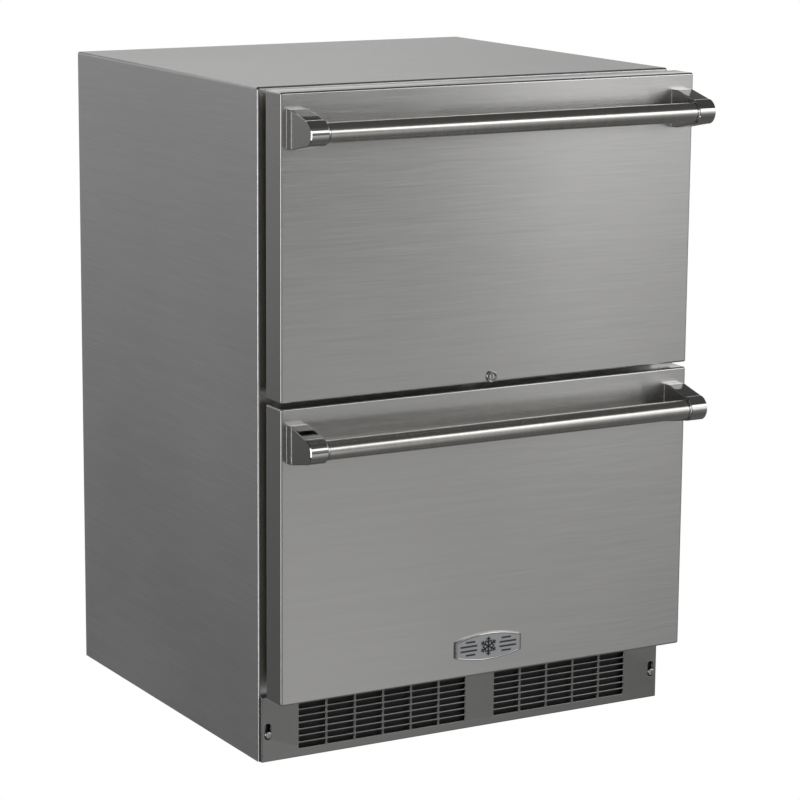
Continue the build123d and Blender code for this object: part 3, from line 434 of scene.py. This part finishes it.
# The top sheet's grain runs front to back, so its reflections smear the other way. Its tint is darker than
# the sides' though it is the same sheet: painted shade on the top.
TOP_STEEL_PAINTED_SHADE = brushed_steel("stainless_top_painted_shade", (0.49, 0.49, 0.48), 0.30, "Y", 0.7, 0.0, "Y", 0.02)
BADGE_INK = moulded("badge_ink", (0.06, 0.06, 0.065), 0.4)

# ---------------------------------------------------------------------------
# Mesh tools
# ---------------------------------------------------------------------------


def arc(centre, radius, start, end, steps):
    """Points of an arc about centre; angles in degrees."""
    angles = [math.radians(start + (end - start) * i / steps) for i in range(steps + 1)]
    return [(centre[0] + radius * math.cos(a), centre[1] + radius * math.sin(a)) for a in angles]


def rounded_rectangle(x, z, radius, steps=5):
    """Points round the rectangle that spans x and z, with rounded corners."""
    radius = max(radius, 0.05 * MM)
    points = arc((x[1] - radius, z[1] - radius), radius, 0, 90, steps)
    points += arc((x[0] + radius, z[1] - radius), radius, 90, 180, steps)
    points += arc((x[0] + radius, z[0] + radius), radius, 180, 270, steps)
    points += arc((x[1] - radius, z[0] + radius), radius, 270, 360, steps)
    return points


def front_loop(bm, points, y):
    """Vertices at (x, z) points, in the plane at y."""
    return [bm.verts.new((x, y, z)) for x, z in points]


def side_loop(bm, points, x):
    """Vertices at (y, z) points, in the plane at x."""
    return [bm.verts.new((x, y, z)) for y, z in points]


def bridge(bm, first, second, closed=True):
    """Quads between two loops of the same length."""
    count = len(first)
    for i in range(count if closed else count - 1):
        j = (i + 1) % count
        bm.faces.new((first[i], first[j], second[j], second[i]))


def loft(bm, loops, closed=True):
    for first, second in zip(loops, loops[1:]):
        bridge(bm, first, second, closed)


def fill_between(bm, outer, holes):
    """Flat sheet inside the outer loop with a hole at each inner loop."""
    edges = []
    for loop in [outer] + holes:
        for i, vertex in enumerate(loop):
            pair = (vertex, loop[(i + 1) % len(loop)])
            edges.append(bm.edges.get(pair) or bm.edges.new(pair))
    bmesh.ops.triangle_fill(bm, use_beauty=True, use_dissolve=False, edges=edges)


def ring_at(place, axis, along, radius, steps=48):
    """Points of a circle about an axis, at a distance along it from place."""
    axis = Vector(axis).normalized()
    across = axis.orthogonal().normalized()
    up = axis.cross(across)
    centre = Vector(place) + axis * along
    turns = [2 * math.pi * i / steps for i in range(steps)]
    return [centre + (across * math.cos(t) + up * math.sin(t)) * radius for t in turns]


def turned(bm, place, axis, profile, steps=48, cap_start=True, cap_end=True):
    """Solid of revolution: profile is a list of (distance along the axis, radius)."""
    loops = []
    for along, radius in profile:
        loops.append([bm.verts.new(p) for p in ring_at(place, axis, along, radius, steps)])
    loft(bm, loops)
    if cap_start:
        bm.faces.new(loops[0])
    if cap_end:
        bm.faces.new(loops[-1])
    return loops


def piece(name, bm, slot, body, replaced=(), sheet=0.0, outward=None, weld=False, materials=None):
    """Makes the mesh an object of the body. A sheet thickness grows it inwards, away from outward."""
    if weld:
        bmesh.ops.remove_doubles(bm, verts=bm.verts, dist=0.001 * MM)
    bmesh.ops.recalc_face_normals(bm, faces=bm.faces)
    if outward is not None:
        largest = max(bm.faces, key=lambda face: face.calc_area())
        if largest.normal.dot(Vector(outward)) < 0:
            bmesh.ops.reverse_faces(bm, faces=bm.faces)
    mesh = bpy.data.meshes.new(name)
    bm.to_mesh(mesh)
    bm.free()
    for polygon in mesh.polygons:
        polygon.use_smooth = True
    mesh.set_sharp_from_angle(angle=math.radians(32))
    for material in materials or [MATERIALS[slot]]:
        mesh.materials.append(material)
    made = bpy.data.objects.new(name, mesh)
    scene.collection.objects.link(made)
    if sheet:
        thick = made.modifiers.new("sheet", "SOLIDIFY")
        thick.thickness = sheet
        thick.offset = -1
        thick.use_even_offset = True
    fair = made.modifiers.new("fair", "WEIGHTED_NORMAL")
    fair.keep_sharp = True
    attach(made, body)
    if replaced:
        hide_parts(*replaced)
    return made


# ---------------------------------------------------------------------------
# Cabinet
# ---------------------------------------------------------------------------


def make_wrapper():
    """Folded sheet: sides and top, with rolled front edges and flanges mitred at the corners."""
    low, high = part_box("cabinet_wrapper")
    strip_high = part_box("breaker_strips")[1]
    bend = 3 * MM
    mitre = 0.5 * MM
    bm = bmesh.new()
    outline = [(low.x, low.z)]
    outline += arc((low.x + bend, high.z - bend), bend, 180, 90, 5)
    outline += arc((high.x - bend, high.z - bend), bend, 90, 0, 5)
    outline.append((high.x, low.z))
    rows = [high.y, low.y + bend]
    loft(bm, [front_loop(bm, outline, y) for y in rows], closed=False)
    turns = [math.radians(15 * i) for i in range(7)]
    roll = [(bend * (1 - math.cos(t)), low.y + bend * (1 - math.sin(t))) for t in turns]
    for side, edge in ((-1, low.x), (1, high.x)):
        flange = abs(edge) - strip_high.x
        loops = []
        for inset, y in roll + [(flange, low.y)]:
            x = edge - side * inset
            top = min(high.z - bend, high.z - inset - mitre)
            loops.append([bm.verts.new((x, y, low.z)), bm.verts.new((x, y, top))])
        loft(bm, loops, closed=False)
    loops = []
    for inset, y in roll + [(high.z - strip_high.z, low.y)]:
        half = min(high.x - bend, high.x - inset - mitre)
        loops.append([bm.verts.new((x, y, high.z - inset)) for x in (-half, half)])
    loft(bm, loops, closed=False)
    # Faces that look up get the top steel, whose darker tint is painted shade
    for face in bm.faces:
        face.normal_update()
        if abs(face.normal.z) > 0.5:
            face.material_index = 1
    materials = [MATERIALS["stainless"], TOP_STEEL_PAINTED_SHADE]
    piece(
        "wrapper_sheet", bm, "stainless", "cabinet", ["cabinet_wrapper"],
        sheet=1.2 * MM, outward=(0, 0, 1), weld=True, materials=materials,
    )


def cross_recess(bm, place, axis, top, reach, depth):
    """Flat top of a screw head at distance top, with a cross-shaped recess."""
    axis = Vector(axis)
    across = Vector((0, 0, 1))
    beside = axis.cross(across)
    arm = reach * 0.3
    quarter = [(arm, arm), (reach, arm), (reach, -arm)]
    outline = []
    for turn in range(4):
        c, s = (1, 0, -1, 0)[turn], (0, 1, 0, -1)[turn]
        outline += [(c * u + s * v, -s * u + c * v) for u, v in quarter]
    loops = []
    for along, scale in ((top, 1.0), (top - depth, 0.75)):
        centre = Vector(place) + axis * along
        loops.append([bm.verts.new(centre + (across * u + beside * v) * scale) for u, v in outline])
    bridge(bm, loops[0], loops[1])
    bm.faces.new(loops[1])
    return loops[0]


def screw(bm, place, axis, radius, height, shank_radius, shank):
    """Pan-head screw: place is under its head, which stands along axis."""
    profile = [(-shank, shank_radius), (0, shank_radius), (0, radius), (height * 0.35, radius)]
    crown = [math.radians(18 * i) for i in range(1, 5)]
    profile += [
        (height * (0.35 + 0.65 * math.sin(t)), radius * (0.62 + 0.38 * math.cos(t))) for t in crown
    ]
    profile.append((height, radius * 0.62))
    loops = turned(bm, place, axis, profile, 32, cap_end=False)
    recess = cross_recess(bm, place, axis, height, radius * 0.5, height * 0.7)
    fill_between(bm, loops[-1], [recess])


def make_grille():
    """Shallow pan whose air slots and screw slots have rolled-in edges."""
    low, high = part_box("toe_grille")
    pitch_x, pitch_z = 41.75 * MM, 8.77 * MM
    slot_x, slot_z = 38.35 * MM, 6.15 * MM
    first_x = -6 * pitch_x + (pitch_x - slot_x) / 2
    first_z = 20.65 * MM
    slot_corner = 1.1 * MM
    columns, blank_column, rows = 12, 6, 8
    screw_head = 4.8 * MM
    screws_low, screws_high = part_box("grille_screws")
    screw_x = screws_high.x - screw_head
    screw_z = (screws_low.z + screws_high.z) / 2
    holes = []
    for column in range(columns):
        for row in range(rows):
            x = first_x + column * pitch_x
            z = first_z + row * pitch_z
            if column != blank_column:
                holes.append(((x, x + slot_x), (z, z + slot_z), slot_corner))
    for x in (-screw_x, screw_x):
        holes.append(((x - 4 * MM, x + 4 * MM), (screw_z - 6.5 * MM, screw_z + 14.5 * MM), 3.95 * MM))
    bm = bmesh.new()
    edge = 1.2 * MM
    turns = [math.radians(18 * i) for i in range(6)]
    rim = [(edge * (1 - math.sin(t)), low.y + edge * (1 - math.cos(t))) for t in turns]
    loops = []
    for inset, y in rim + [(0, high.y)]:
        x_span, z_span = (low.x + inset, high.x - inset), (low.z + inset, high.z - inset)
        loops.append(front_loop(bm, rounded_rectangle(x_span, z_span, edge - inset), y))
    loft(bm, loops)
    lip = 1.1 * MM
    mouths = []
    for x, z, radius in holes:
        walls = []
        for step in range(4):
            t = math.radians(30 * step)
            out, y = lip * (1 - math.sin(t)), low.y + lip * (1 - math.cos(t))
            walls.append((out, y))
        walls.append((0, low.y + 2.4 * MM))
        rings = []
        for out, y in walls:
            x_span, z_span = (x[0] - out, x[1] + out), (z[0] - out, z[1] + out)
            points = rounded_rectangle(x_span, z_span, radius + out, 3)
            rings.append(front_loop(bm, points, y))
        loft(bm, rings)
        mouths.append(rings[0])
    fill_between(bm, loops[0], mouths)
    piece(
        "grille_panel", bm, "grille_steel", "cabinet", ["toe_grille"],
        sheet=0.8 * MM, outward=(0, -1, 0),
    )
    bm = bmesh.new()
    for x in (-screw_x, screw_x):
        screw(bm, (x, low.y, screw_z), (0, -1, 0), screw_head, 2.2 * MM, 2 * MM, 8 * MM)
    piece("grille_screw_pair", bm, "screw_steel", "cabinet", ["grille_screws"])


def make_shade_backing():
    """Dark sheet behind the grille's slots, in a frame with rounded edges: it puts painted shade in the
    openings.
    """
    low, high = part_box("toe_grille")
    x_span = (-266 * MM, 266 * MM)
    z_span = (low.z + 6 * MM, high.z - 6 * MM)
    front_y = low.y + 7 * MM
    bm = bmesh.new()
    loops = []
    # Insets and depths, in millimetres: the back, round the frame's edge, and in to the sunken middle
    for inset, depth in ((0.6, 1.8), (0, 1.2), (0, 0.6), (0.6, 0), (4, 0), (4.6, 0.6), (5.2, 0.7)):
        x = (x_span[0] + inset * MM, x_span[1] - inset * MM)
        z = (z_span[0] + inset * MM, z_span[1] - inset * MM)
        loops.append(front_loop(bm, rounded_rectangle(x, z, 3 * MM), front_y + depth * MM))
    loft(bm, loops)
    bm.faces.new(loops[0])
    bm.faces.new(loops[-1])
    piece("painted_shade_backing", bm, "black_plastic", "cabinet")


def make_rear():
    """Vented rear cover with straight-walled slots, and its screws."""
    low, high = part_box("rear_cover")
    gland_low, gland_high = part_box("inlet_gland")
    gland = (gland_low + gland_high) / 2
    screws_low, screws_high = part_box("rear_cover_screws")
    screw_head = 4.2 * MM
    columns = (screws_low.x + screw_head, 0, screws_high.x - screw_head)
    rows = (screws_low.z + screw_head, screws_high.z - screw_head)
    bm = bmesh.new()
    edge = 0.5 * MM
    loops = []
    for inset, y in ((0, low.y), (0, high.y - edge), (edge * 0.3, high.y - edge * 0.3), (edge, high.y)):
        x_span, z_span = (low.x + inset, high.x - inset), (low.z + inset, high.z - inset)
        loops.append(front_loop(bm, rounded_rectangle(x_span, z_span, 4 * MM - inset), y))
    loft(bm, loops)
    outer, inner = [], []
    for i in range(6):
        for j in range(10):
            x, z = (i - 2.5) * 84 * MM, 130 * MM + (j - 4.5) * 14 * MM
            x_span, z_span = (x - 32 * MM, x + 32 * MM), (z - 2.5 * MM, z + 2.5 * MM)
            points = rounded_rectangle(x_span, z_span, 2.45 * MM, 4)
            rings = [front_loop(bm, points, y) for y in (high.y, low.y)]
            loft(bm, rings)
            outer.append(rings[0])
            inner.append(rings[1])
    round_holes = [(x, z, 2.2 * MM) for x in columns for z in rows]
    round_holes.append((gland.x, gland.z, 8.1 * MM))
    for x, z, radius in round_holes:
        points = arc((x, z), radius, 0, 345, 23)
        rings = [front_loop(bm, points, y) for y in (high.y, low.y)]
        loft(bm, rings)
        outer.append(rings[0])
        inner.append(rings[1])
    fill_between(bm, loops[-1], outer)
    fill_between(bm, loops[0], inner)
    piece("rear_cover_sheet", bm, "galvanised", "cabinet", ["rear_cover"])
    bm = bmesh.new()
    for x in columns:
        for z in rows:
            screw(bm, (x, high.y, z), (0, 1, 0), screw_head, 2.3 * MM, 2 * MM, 2.3 * MM)
    piece("rear_screw_set", bm, "screw_steel", "cabinet", ["rear_cover_screws"])


def make_legs():
    """Foot disc with a rounded rim, a spanner hexagon and a threaded stud."""
    for end in ("front", "rear"):
        for side in ("left", "right"):
            name = f"leg_{end}_{side}"
            low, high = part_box(name)
            centre = (low + high) / 2
            base = (centre.x, centre.y, low.z)
            foot = (high.x - low.x) / 2
            bm = bmesh.new()
            profile = [(0, foot - 1 * MM), (0.4 * MM, foot - 0.2 * MM), (1 * MM, foot), (4 * MM, foot)]
            profile += [(4.6 * MM, foot - 0.3 * MM), (5.4 * MM, foot - 1.2 * MM), (6 * MM, foot - 3 * MM)]
            turned(bm, base, (0, 0, 1), profile)
            hexagon = [(5.9 * MM, 9 * MM), (6.4 * MM, 9.8 * MM), (11.6 * MM, 9.8 * MM), (12 * MM, 9 * MM)]
            turned(bm, base, (0, 0, 1), hexagon, 6)
            thread = [(11.9 * MM, 4.6 * MM)]
            turns = 24
            pitch = (high.z - low.z - 13.5 * MM) / turns
            for i in range(turns):
                start = 12.5 * MM + i * pitch
                thread += [(start, 4.55 * MM), (start + pitch / 2, 5 * MM)]
            thread += [(high.z - low.z - 0.8 * MM, 4.5 * MM), (high.z - low.z, 4 * MM)]
            turned(bm, base, (0, 0, 1), thread, 32)
            piece(f"{name}_detail", bm, "screw_steel", name, [name])


# ---------------------------------------------------------------------------
# Drawers
# ---------------------------------------------------------------------------


def make_front(level):
    """Folded steel front: rolled face edges, side flanges and a return lip at the back."""
    node_name = f"{level}_front_skin"
    low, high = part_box(node_name)
    edge = 2.5 * MM
    lip = 12 * MM
    turns = [math.radians(15 * i) for i in range(7)]
    profile = [(edge * (1 - math.sin(t)), low.y + edge * (1 - math.cos(t))) for t in turns]
    fold = 1.2 * MM
    turns = [math.radians(22.5 * i) for i in range(5)]
    profile += [(fold * (1 - math.cos(t)), high.y - fold * (1 - math.sin(t))) for t in turns]
    profile.append((lip, high.y))
    bm = bmesh.new()
    loops = []
    for inset, y in profile:
        x_span, z_span = (low.x + inset, high.x - inset), (low.z + inset, high.z - inset)
        loops.append(front_loop(bm, rounded_rectangle(x_span, z_span, edge - inset, 6), y))
    loft(bm, loops)
    bm.faces.new(loops[0])
    piece(
        f"{level}_front_sheet", bm, "stainless_front", f"{level}_drawer", [node_name],
        sheet=0.9 * MM, outward=(0, -1, 0),
    )


def make_seal(level):
    """Magnetic seal: a foot, a pleated waist and a bulb, all the way round."""
    node_name = f"{level}_gasket"
    low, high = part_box(node_name)
    depth = high.y - low.y
    width = 16 * MM
    pleat = 2.4 * MM
    outer = [(0.6 * MM, 0), (0, 0.06), (0, 0.2), (pleat, 0.32), (0.4 * MM, 0.42), (pleat, 0.52)]
    outer += [(0.2 * MM, 0.62), (0, 0.7), (0, 0.93), (0.8 * MM, 1)]
    profile = outer + [(width - inset, share) for inset, share in reversed(outer)]
    bm = bmesh.new()
    loops = []
    for inset, share in profile:
        x_span, z_span = (low.x + inset, high.x - inset), (low.z + inset, high.z - inset)
        radius = max(3 * MM - inset, 0.3 * MM)
        loops.append(front_loop(bm, rounded_rectangle(x_span, z_span, radius, 4), low.y + depth * share))
    loft(bm, loops + [loops[0]])
    piece(f"{level}_seal", bm, "seal_rubber", f"{level}_drawer", [node_name])


def post_outline(face_y, middle_z, nose, inset):
    """Side outline (y, z) of a post's arm: straight from the flange to the round nose."""
    nose_y, nose_z, nose_radius = nose
    radius = nose_radius - 0.4 * MM - inset
    start_y = face_y - 10 * MM
    points = []
    for sign in (1, -1):
        corner = Vector((start_y, middle_z + sign * (24.5 * MM - inset)))
        centre = Vector((nose_y, nose_z))
        gap = corner - centre
        spread_angle = math.acos(radius / gap.length)
        facing = math.atan2(gap.y, gap.x)
        touch = facing + sign * spread_angle
        points.append((corner, touch))
    (top_corner, top_touch), (low_corner, low_touch) = points
    low_touch += 2 * math.pi
    outline = [tuple(top_corner)]
    outline += arc((nose_y, nose_z), radius, math.degrees(top_touch), math.degrees(low_touch), 28)
    outline.append(tuple(low_corner))
    return outline


def make_handle(level):
    """Two chrome posts, each a flange and a tapered arm, and the bar with its end rings."""
    posts = f"{level}_handle_posts"
    bar_node = f"{level}_handle_bar"
    low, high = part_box(posts)
    bar_low, bar_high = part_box(bar_node)
    face_y = high.y
    flange_z = high.z - 24.5 * MM
    bar = (bar_low + bar_high) / 2
    # The nose is fuller than the bar, and its centre sits further back
    fuller = 2 * MM
    nose = (bar.y + fuller, bar.z, bar.y + fuller - low.y)
    width = high.x - bar_high.x
    bm = bmesh.new()
    round_edge = 1.1 * MM
    for side in (-1, 1):
        inner, outer = side * bar_high.x, side * high.x
        # Flange: a plate with softened edges against the drawer front
        flange = []
        for inset, y in ((0.3 * MM, face_y), (0, face_y - 0.4 * MM), (0, face_y - 10.2 * MM),
                         (0.25 * MM, face_y - 10.8 * MM), (0.8 * MM, face_y - 11 * MM)):
            x_span = sorted((inner + side * inset, outer - side * inset))
            z_span = (flange_z - 24.5 * MM + inset, flange_z + 24.5 * MM - inset)
            flange.append(front_loop(bm, rounded_rectangle(x_span, z_span, 1.2 * MM - inset, 3), y))
        loft(bm, flange)
        bm.faces.new(flange[0])
        bm.faces.new(flange[-1])
        # Arm: narrower than the flange by a crease's width, with rounded rims
        crease = 0.35 * MM
        arm = []
        turns = [math.radians(18 * i) for i in range(6)]
        rims = [(round_edge * (1 - math.sin(t)), round_edge * (1 - math.cos(t))) for t in turns]
        for inset, across in rims:
            x = outer - side * (crease + across)
            arm.append(side_loop(bm, post_outline(face_y, flange_z, nose, inset), x))
        for inset, across in reversed(rims):
            x = inner + side * across
            arm.append(side_loop(bm, post_outline(face_y, flange_z, nose, inset), x))
        loft(bm, arm)
        bm.faces.new(arm[0])
        bm.faces.new(arm[-1])
        # Nose: a cylinder whose ends have polished chamfers
        chamfer = 1.3 * MM
        nose_profile = [(0.2 * MM, nose[2] - chamfer), (chamfer, nose[2]), (width - chamfer, nose[2])]
        nose_profile.append((width - 0.2 * MM, nose[2] - chamfer))
        turned(bm, (outer, nose[0], nose[1]), (-side, 0, 0), nose_profile, 96)
    piece(f"{level}_posts", bm, "chrome", f"{level}_drawer", [posts])

    radius = (bar_high.z - bar_low.z) / 2
    half = bar_high.x
    # End rings stand a little proud of the bar, and a groove parts each from the brushed length
    ring = [(0, radius - 0.6 * MM), (0, radius - 0.1 * MM), (0.15 * MM, radius), (1.4 * MM, radius)]
    groove = [(1.6 * MM, radius - 0.1 * MM), (1.7 * MM, radius - 0.7 * MM), (2.3 * MM, radius - 0.7 * MM)]
    body = [(2.4 * MM, radius - 0.35 * MM), (2.6 * MM, radius - 0.2 * MM)]
    bm = bmesh.new()
    for side in (-1, 1):
        place = (side * half, bar.y, bar.z)
        turned(bm, place, (-side, 0, 0), ring + groove, 64, cap_end=False)
    piece(f"{level}_bar_rings", bm, "chrome", f"{level}_drawer")
    bm = bmesh.new()
    ends = groove[-1:] + body
    length = 2 * half
    profile = ends + [(length * i / 12, radius - 0.2 * MM) for i in range(1, 12)]
    profile += [(length - along, r) for along, r in reversed(ends)]
    turned(bm, (-half, bar.y, bar.z), (1, 0, 0), profile, 96)
    piece(f"{level}_bar", bm, "bar_steel", f"{level}_drawer", [bar_node])


def bin_outline(low, high, step):
    """Side outline (y, z) of a bin."""
    points = [(high.y, high.z), (low.y, high.z), (low.y, low.z)]
    if step is None:
        return points + [(high.y, low.z)]
    return points + [(step[0], low.z), (step[0], step[1]), (high.y, step[1])]


def make_bin(level, step):
    """Sheet tub with rounded folds and a bead round its mouth."""
    node_name = f"{level}_bin"
    low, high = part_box(node_name)
    rim = 4 * MM
    half = high.x - rim
    back = high.y - rim
    inner_low, inner_high = Vector((-half, low.y, low.z)), Vector((half, back, high.z - 1 * MM))
    bm = bmesh.new()
    outline = bin_outline(inner_low, inner_high, step)
    loops = [side_loop(bm, outline, x) for x in (-half, half)]
    bridge(bm, loops[0], loops[1])
    bm.faces.new(loops[0])
    bm.faces.new(loops[1])
    top = [f for f in bm.faces if all(v.co.z > high.z - 2 * MM for v in f.verts)]
    bmesh.ops.delete(bm, geom=top, context="FACES_ONLY")
    folds = [e for e in bm.edges if len(e.link_faces) == 2]
    bmesh.ops.bevel(bm, geom=folds, offset=9 * MM, segments=6, profile=0.5, affect="EDGES")
    piece(
        f"{level}_tub", bm, "bin_steel", f"{level}_drawer", [node_name],
        sheet=1.2 * MM, outward=(0, 0, -1),
    )
    # Bead: a bar of round section bent round the mouth
    bm = bmesh.new()
    loops = []
    radius = 2.4 * MM
    for u, v in arc((0, 0), radius, 0, 337.5, 15):
        x = half - 0.4 * MM + u
        front = inner_low.y + 12 * MM
        points = rounded_rectangle((-x, x), (front - u, back - 0.4 * MM + u), 9 * MM + u, 6)
        loops.append([bm.verts.new((px, py, high.z - radius + v)) for px, py in points])
    loft(bm, loops + [loops[0]])
    piece(f"{level}_bin_bead", bm, "bin_steel", f"{level}_drawer")


def make_lock():
    """Cam lock: a ring with a dished face and a plug with a keyway."""
    low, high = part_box("lock_housing")
    centre = (low + high) / 2
    front_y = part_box("upper_front_skin")[0].y
    ring = (high.x - low.x) / 2
    plug_low, plug_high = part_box("lock_plug")
    stand = front_y - low.y
    bm = bmesh.new()
    profile = [(-(high.y - front_y), 6 * MM), (0, 6 * MM), (0, ring), (stand * 0.5, ring)]
    turns = [math.radians(18 * i) for i in range(1, 6)]
    profile += [(stand * (0.5 + 0.5 * math.sin(t)), ring - 1.2 * MM * (1 - math.cos(t))) for t in turns]
    profile += [(stand - 0.2 * MM, 5.6 * MM), (stand * 0.7, 5.1 * MM), (stand * 0.6, 4.7 * MM)]
    profile += [(stand * 0.5, 4.6 * MM), (-(high.y - front_y), 4.6 * MM)]
    loops = turned(bm, (centre.x, front_y, centre.z), (0, -1, 0), profile, 64, False, False)
    bridge(bm, loops[-1], loops[0])
    piece("lock_ring", bm, "chrome", "upper_drawer", ["lock_housing"])

    bm = bmesh.new()
    face_y = plug_low.y
    radius = 4.5 * MM
    length = plug_high.y - plug_low.y
    profile = [(-length, radius), (-1 * MM, radius), (-0.3 * MM, radius - 0.1 * MM), (0, radius - 0.5 * MM)]
    rim = turned(bm, (centre.x, face_y, centre.z), (0, -1, 0), profile, 48, True, False)[-1]
    key_x, key_z = (centre.x - 0.9 * MM, centre.x + 0.9 * MM), (centre.z - 3.1 * MM, centre.z + 3.1 * MM)
    mouth = front_loop(bm, rounded_rectangle(key_x, key_z, 0.5 * MM, 3), face_y)
    floor = front_loop(bm, rounded_rectangle(key_x, key_z, 0.5 * MM, 3), face_y + 3 * MM)
    bridge(bm, mouth, floor)
    bm.faces.new(floor)
    fill_between(bm, rim, [mouth])
    # Cam: a flat arm on the plug's back end
    cam_half, cam_thickness = 5 * MM, 2.5 * MM
    cam_x, cam_z = (-cam_half, plug_high.x), (centre.z - cam_half, centre.z + cam_half)
    cam_points = rounded_rectangle(cam_x, cam_z, 3 * MM, 5)
    plates = [front_loop(bm, cam_points, y) for y in (plug_high.y - cam_thickness, plug_high.y)]
    bridge(bm, plates[0], plates[1])
    for plate in plates:
        bm.faces.new(plate)
    piece("lock_cylinder", bm, "chrome", "lock", ["lock_plug"])


def badge_outline(low, high, inset, steps=24):
    """Outline (x, z) of the name plate: upright ends, arched top and bottom."""
    middle = (low.z + high.z) / 2
    half = high.x - inset
    end, crown = 11 * MM - inset, 18 * MM - inset
    rise = crown - end
    radius = (half * half + rise * rise) / (2 * rise)
    sweep = math.degrees(math.asin(half / radius))
    points = arc((0, middle + crown - radius), radius, 90 - sweep, 90 + sweep, steps)
    points += arc((0, middle - crown + radius), radius, 270 - sweep, 270 + sweep, steps)
    return points


def stroke(bm, start, end, width, y):
    """Raised bar in the drawer front's plane, from start to end (x, z), between the two depths y."""
    half = (Vector(end) - Vector(start)).normalized() * width / 2
    beside = Vector((-half.y, half.x))
    start, end = Vector(start), Vector(end)
    corners = [start - beside, end - beside, end + beside, start + beside]
    back = front_loop(bm, corners, y[0])
    front = front_loop(bm, corners, y[1])
    bridge(bm, back, front)
    bm.faces.new(back)
    bm.faces.new(front)


def make_badge():
    """Plate with a bright rolled rim and a satin field that carries a snowflake between rules."""
    low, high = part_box("badge")
    middle = (low.z + high.z) / 2
    rim = [(0, high.y), (0, low.y + 0.9 * MM), (0.25 * MM, low.y + 0.3 * MM), (0.9 * MM, low.y)]
    rim += [(1.6 * MM, low.y + 0.1 * MM), (2.1 * MM, low.y + 0.5 * MM), (2.3 * MM, low.y + 1.1 * MM)]
    bm = bmesh.new()
    loops = [front_loop(bm, badge_outline(low, high, inset), y) for inset, y in rim]
    loft(bm, loops)
    bm.faces.new(loops[0])
    bm.faces.new(loops[-1])
    field = max(bm.faces, key=lambda face: (len(face.verts) > 4) * -face.calc_center_median().y)
    field.material_index = 1
    piece(
        "badge_plate", bm, "badge_metal", "lower_drawer", ["badge"],
        materials=[MATERIALS["chrome"], MATERIALS["badge_metal"]],
    )
    bm = bmesh.new()
    field_y = low.y + 1.2 * MM
    depths = (field_y, field_y - 0.6 * MM)
    reach = 12.5 * MM
    for arm in range(6):
        angle = math.radians(30 + 60 * arm)
        tip = Vector((math.cos(angle), math.sin(angle)))
        centre = Vector((0, middle))
        stroke(bm, centre, centre + tip * reach, 1.9 * MM, depths)
        for share, length in ((0.42, 4.6 * MM), (0.70, 3.4 * MM)):
            root = centre + tip * reach * share
            for turn in (-60, 60):
                bearing = angle + math.radians(turn)
                twig = Vector((math.cos(bearing), math.sin(bearing)))
                stroke(bm, root, root + twig * length, 1.5 * MM, depths)
    for side in (-1, 1):
        for z, start, end in ((3.0, 17, 42), (-3.0, 17, 42), (8.6, 20, 34), (-8.6, 20, 34)):
            ends = [(side * start * MM, middle + z * MM), (side * end * MM, middle + z * MM)]
            stroke(bm, ends[0], ends[1], 2.2 * MM, depths)
    piece("badge_figure", bm, "badge_metal", "lower_drawer", materials=[BADGE_INK])


# ---------------------------------------------------------------------------
# Controls
# ---------------------------------------------------------------------------


def make_buttons():
    """Buttons with a softened rim and a dished top."""
    for number in (1, 2, 3):
        node_name = f"control_button_{number}"
        low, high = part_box(node_name)
        centre = (low + high) / 2
        radius = 4.6 * MM
        length = high.y - low.y
        collar = (high.x - low.x) / 2
        profile = [(0, collar - 0.2 * MM), (0.2 * MM, collar), (1 * MM, collar)]
        profile += [(1.2 * MM, collar - 0.2 * MM), (1.2 * MM, radius), (length - 0.8 * MM, radius)]
        profile += [(length - 0.3 * MM, radius - 0.25 * MM)]
        profile += [(length, radius - 0.9 * MM), (length - 0.2 * MM, radius - 1.6 * MM)]
        profile += [(length - 0.5 * MM, radius - 3.2 * MM)]
        bm = bmesh.new()
        turned(bm, (centre.x, high.y, centre.z), (0, -1, 0), profile, 48)
        piece(f"{node_name}_cap", bm, "button_plastic", f"button_{number}", [node_name])


make_wrapper()
make_grille()
make_shade_backing()
make_rear()
make_legs()
for drawer_level, bin_step in (("upper", None), ("lower", (0.050, 0.270))):
    make_front(drawer_level)
    make_seal(drawer_level)
    make_handle(drawer_level)
    make_bin(drawer_level, bin_step)
make_lock()
make_badge()
make_buttons()

# The other CAD nodes are shown as they are, in their slot's material
slot_of_node = {part["node"]: part["material_slot"] for part in frame["record"]["subparts"]}
for name, cad_object in frame["nodes"].items():
    cad_object.data.materials.clear()
    cad_object.data.materials.append(MATERIALS[slot_of_node[name]])
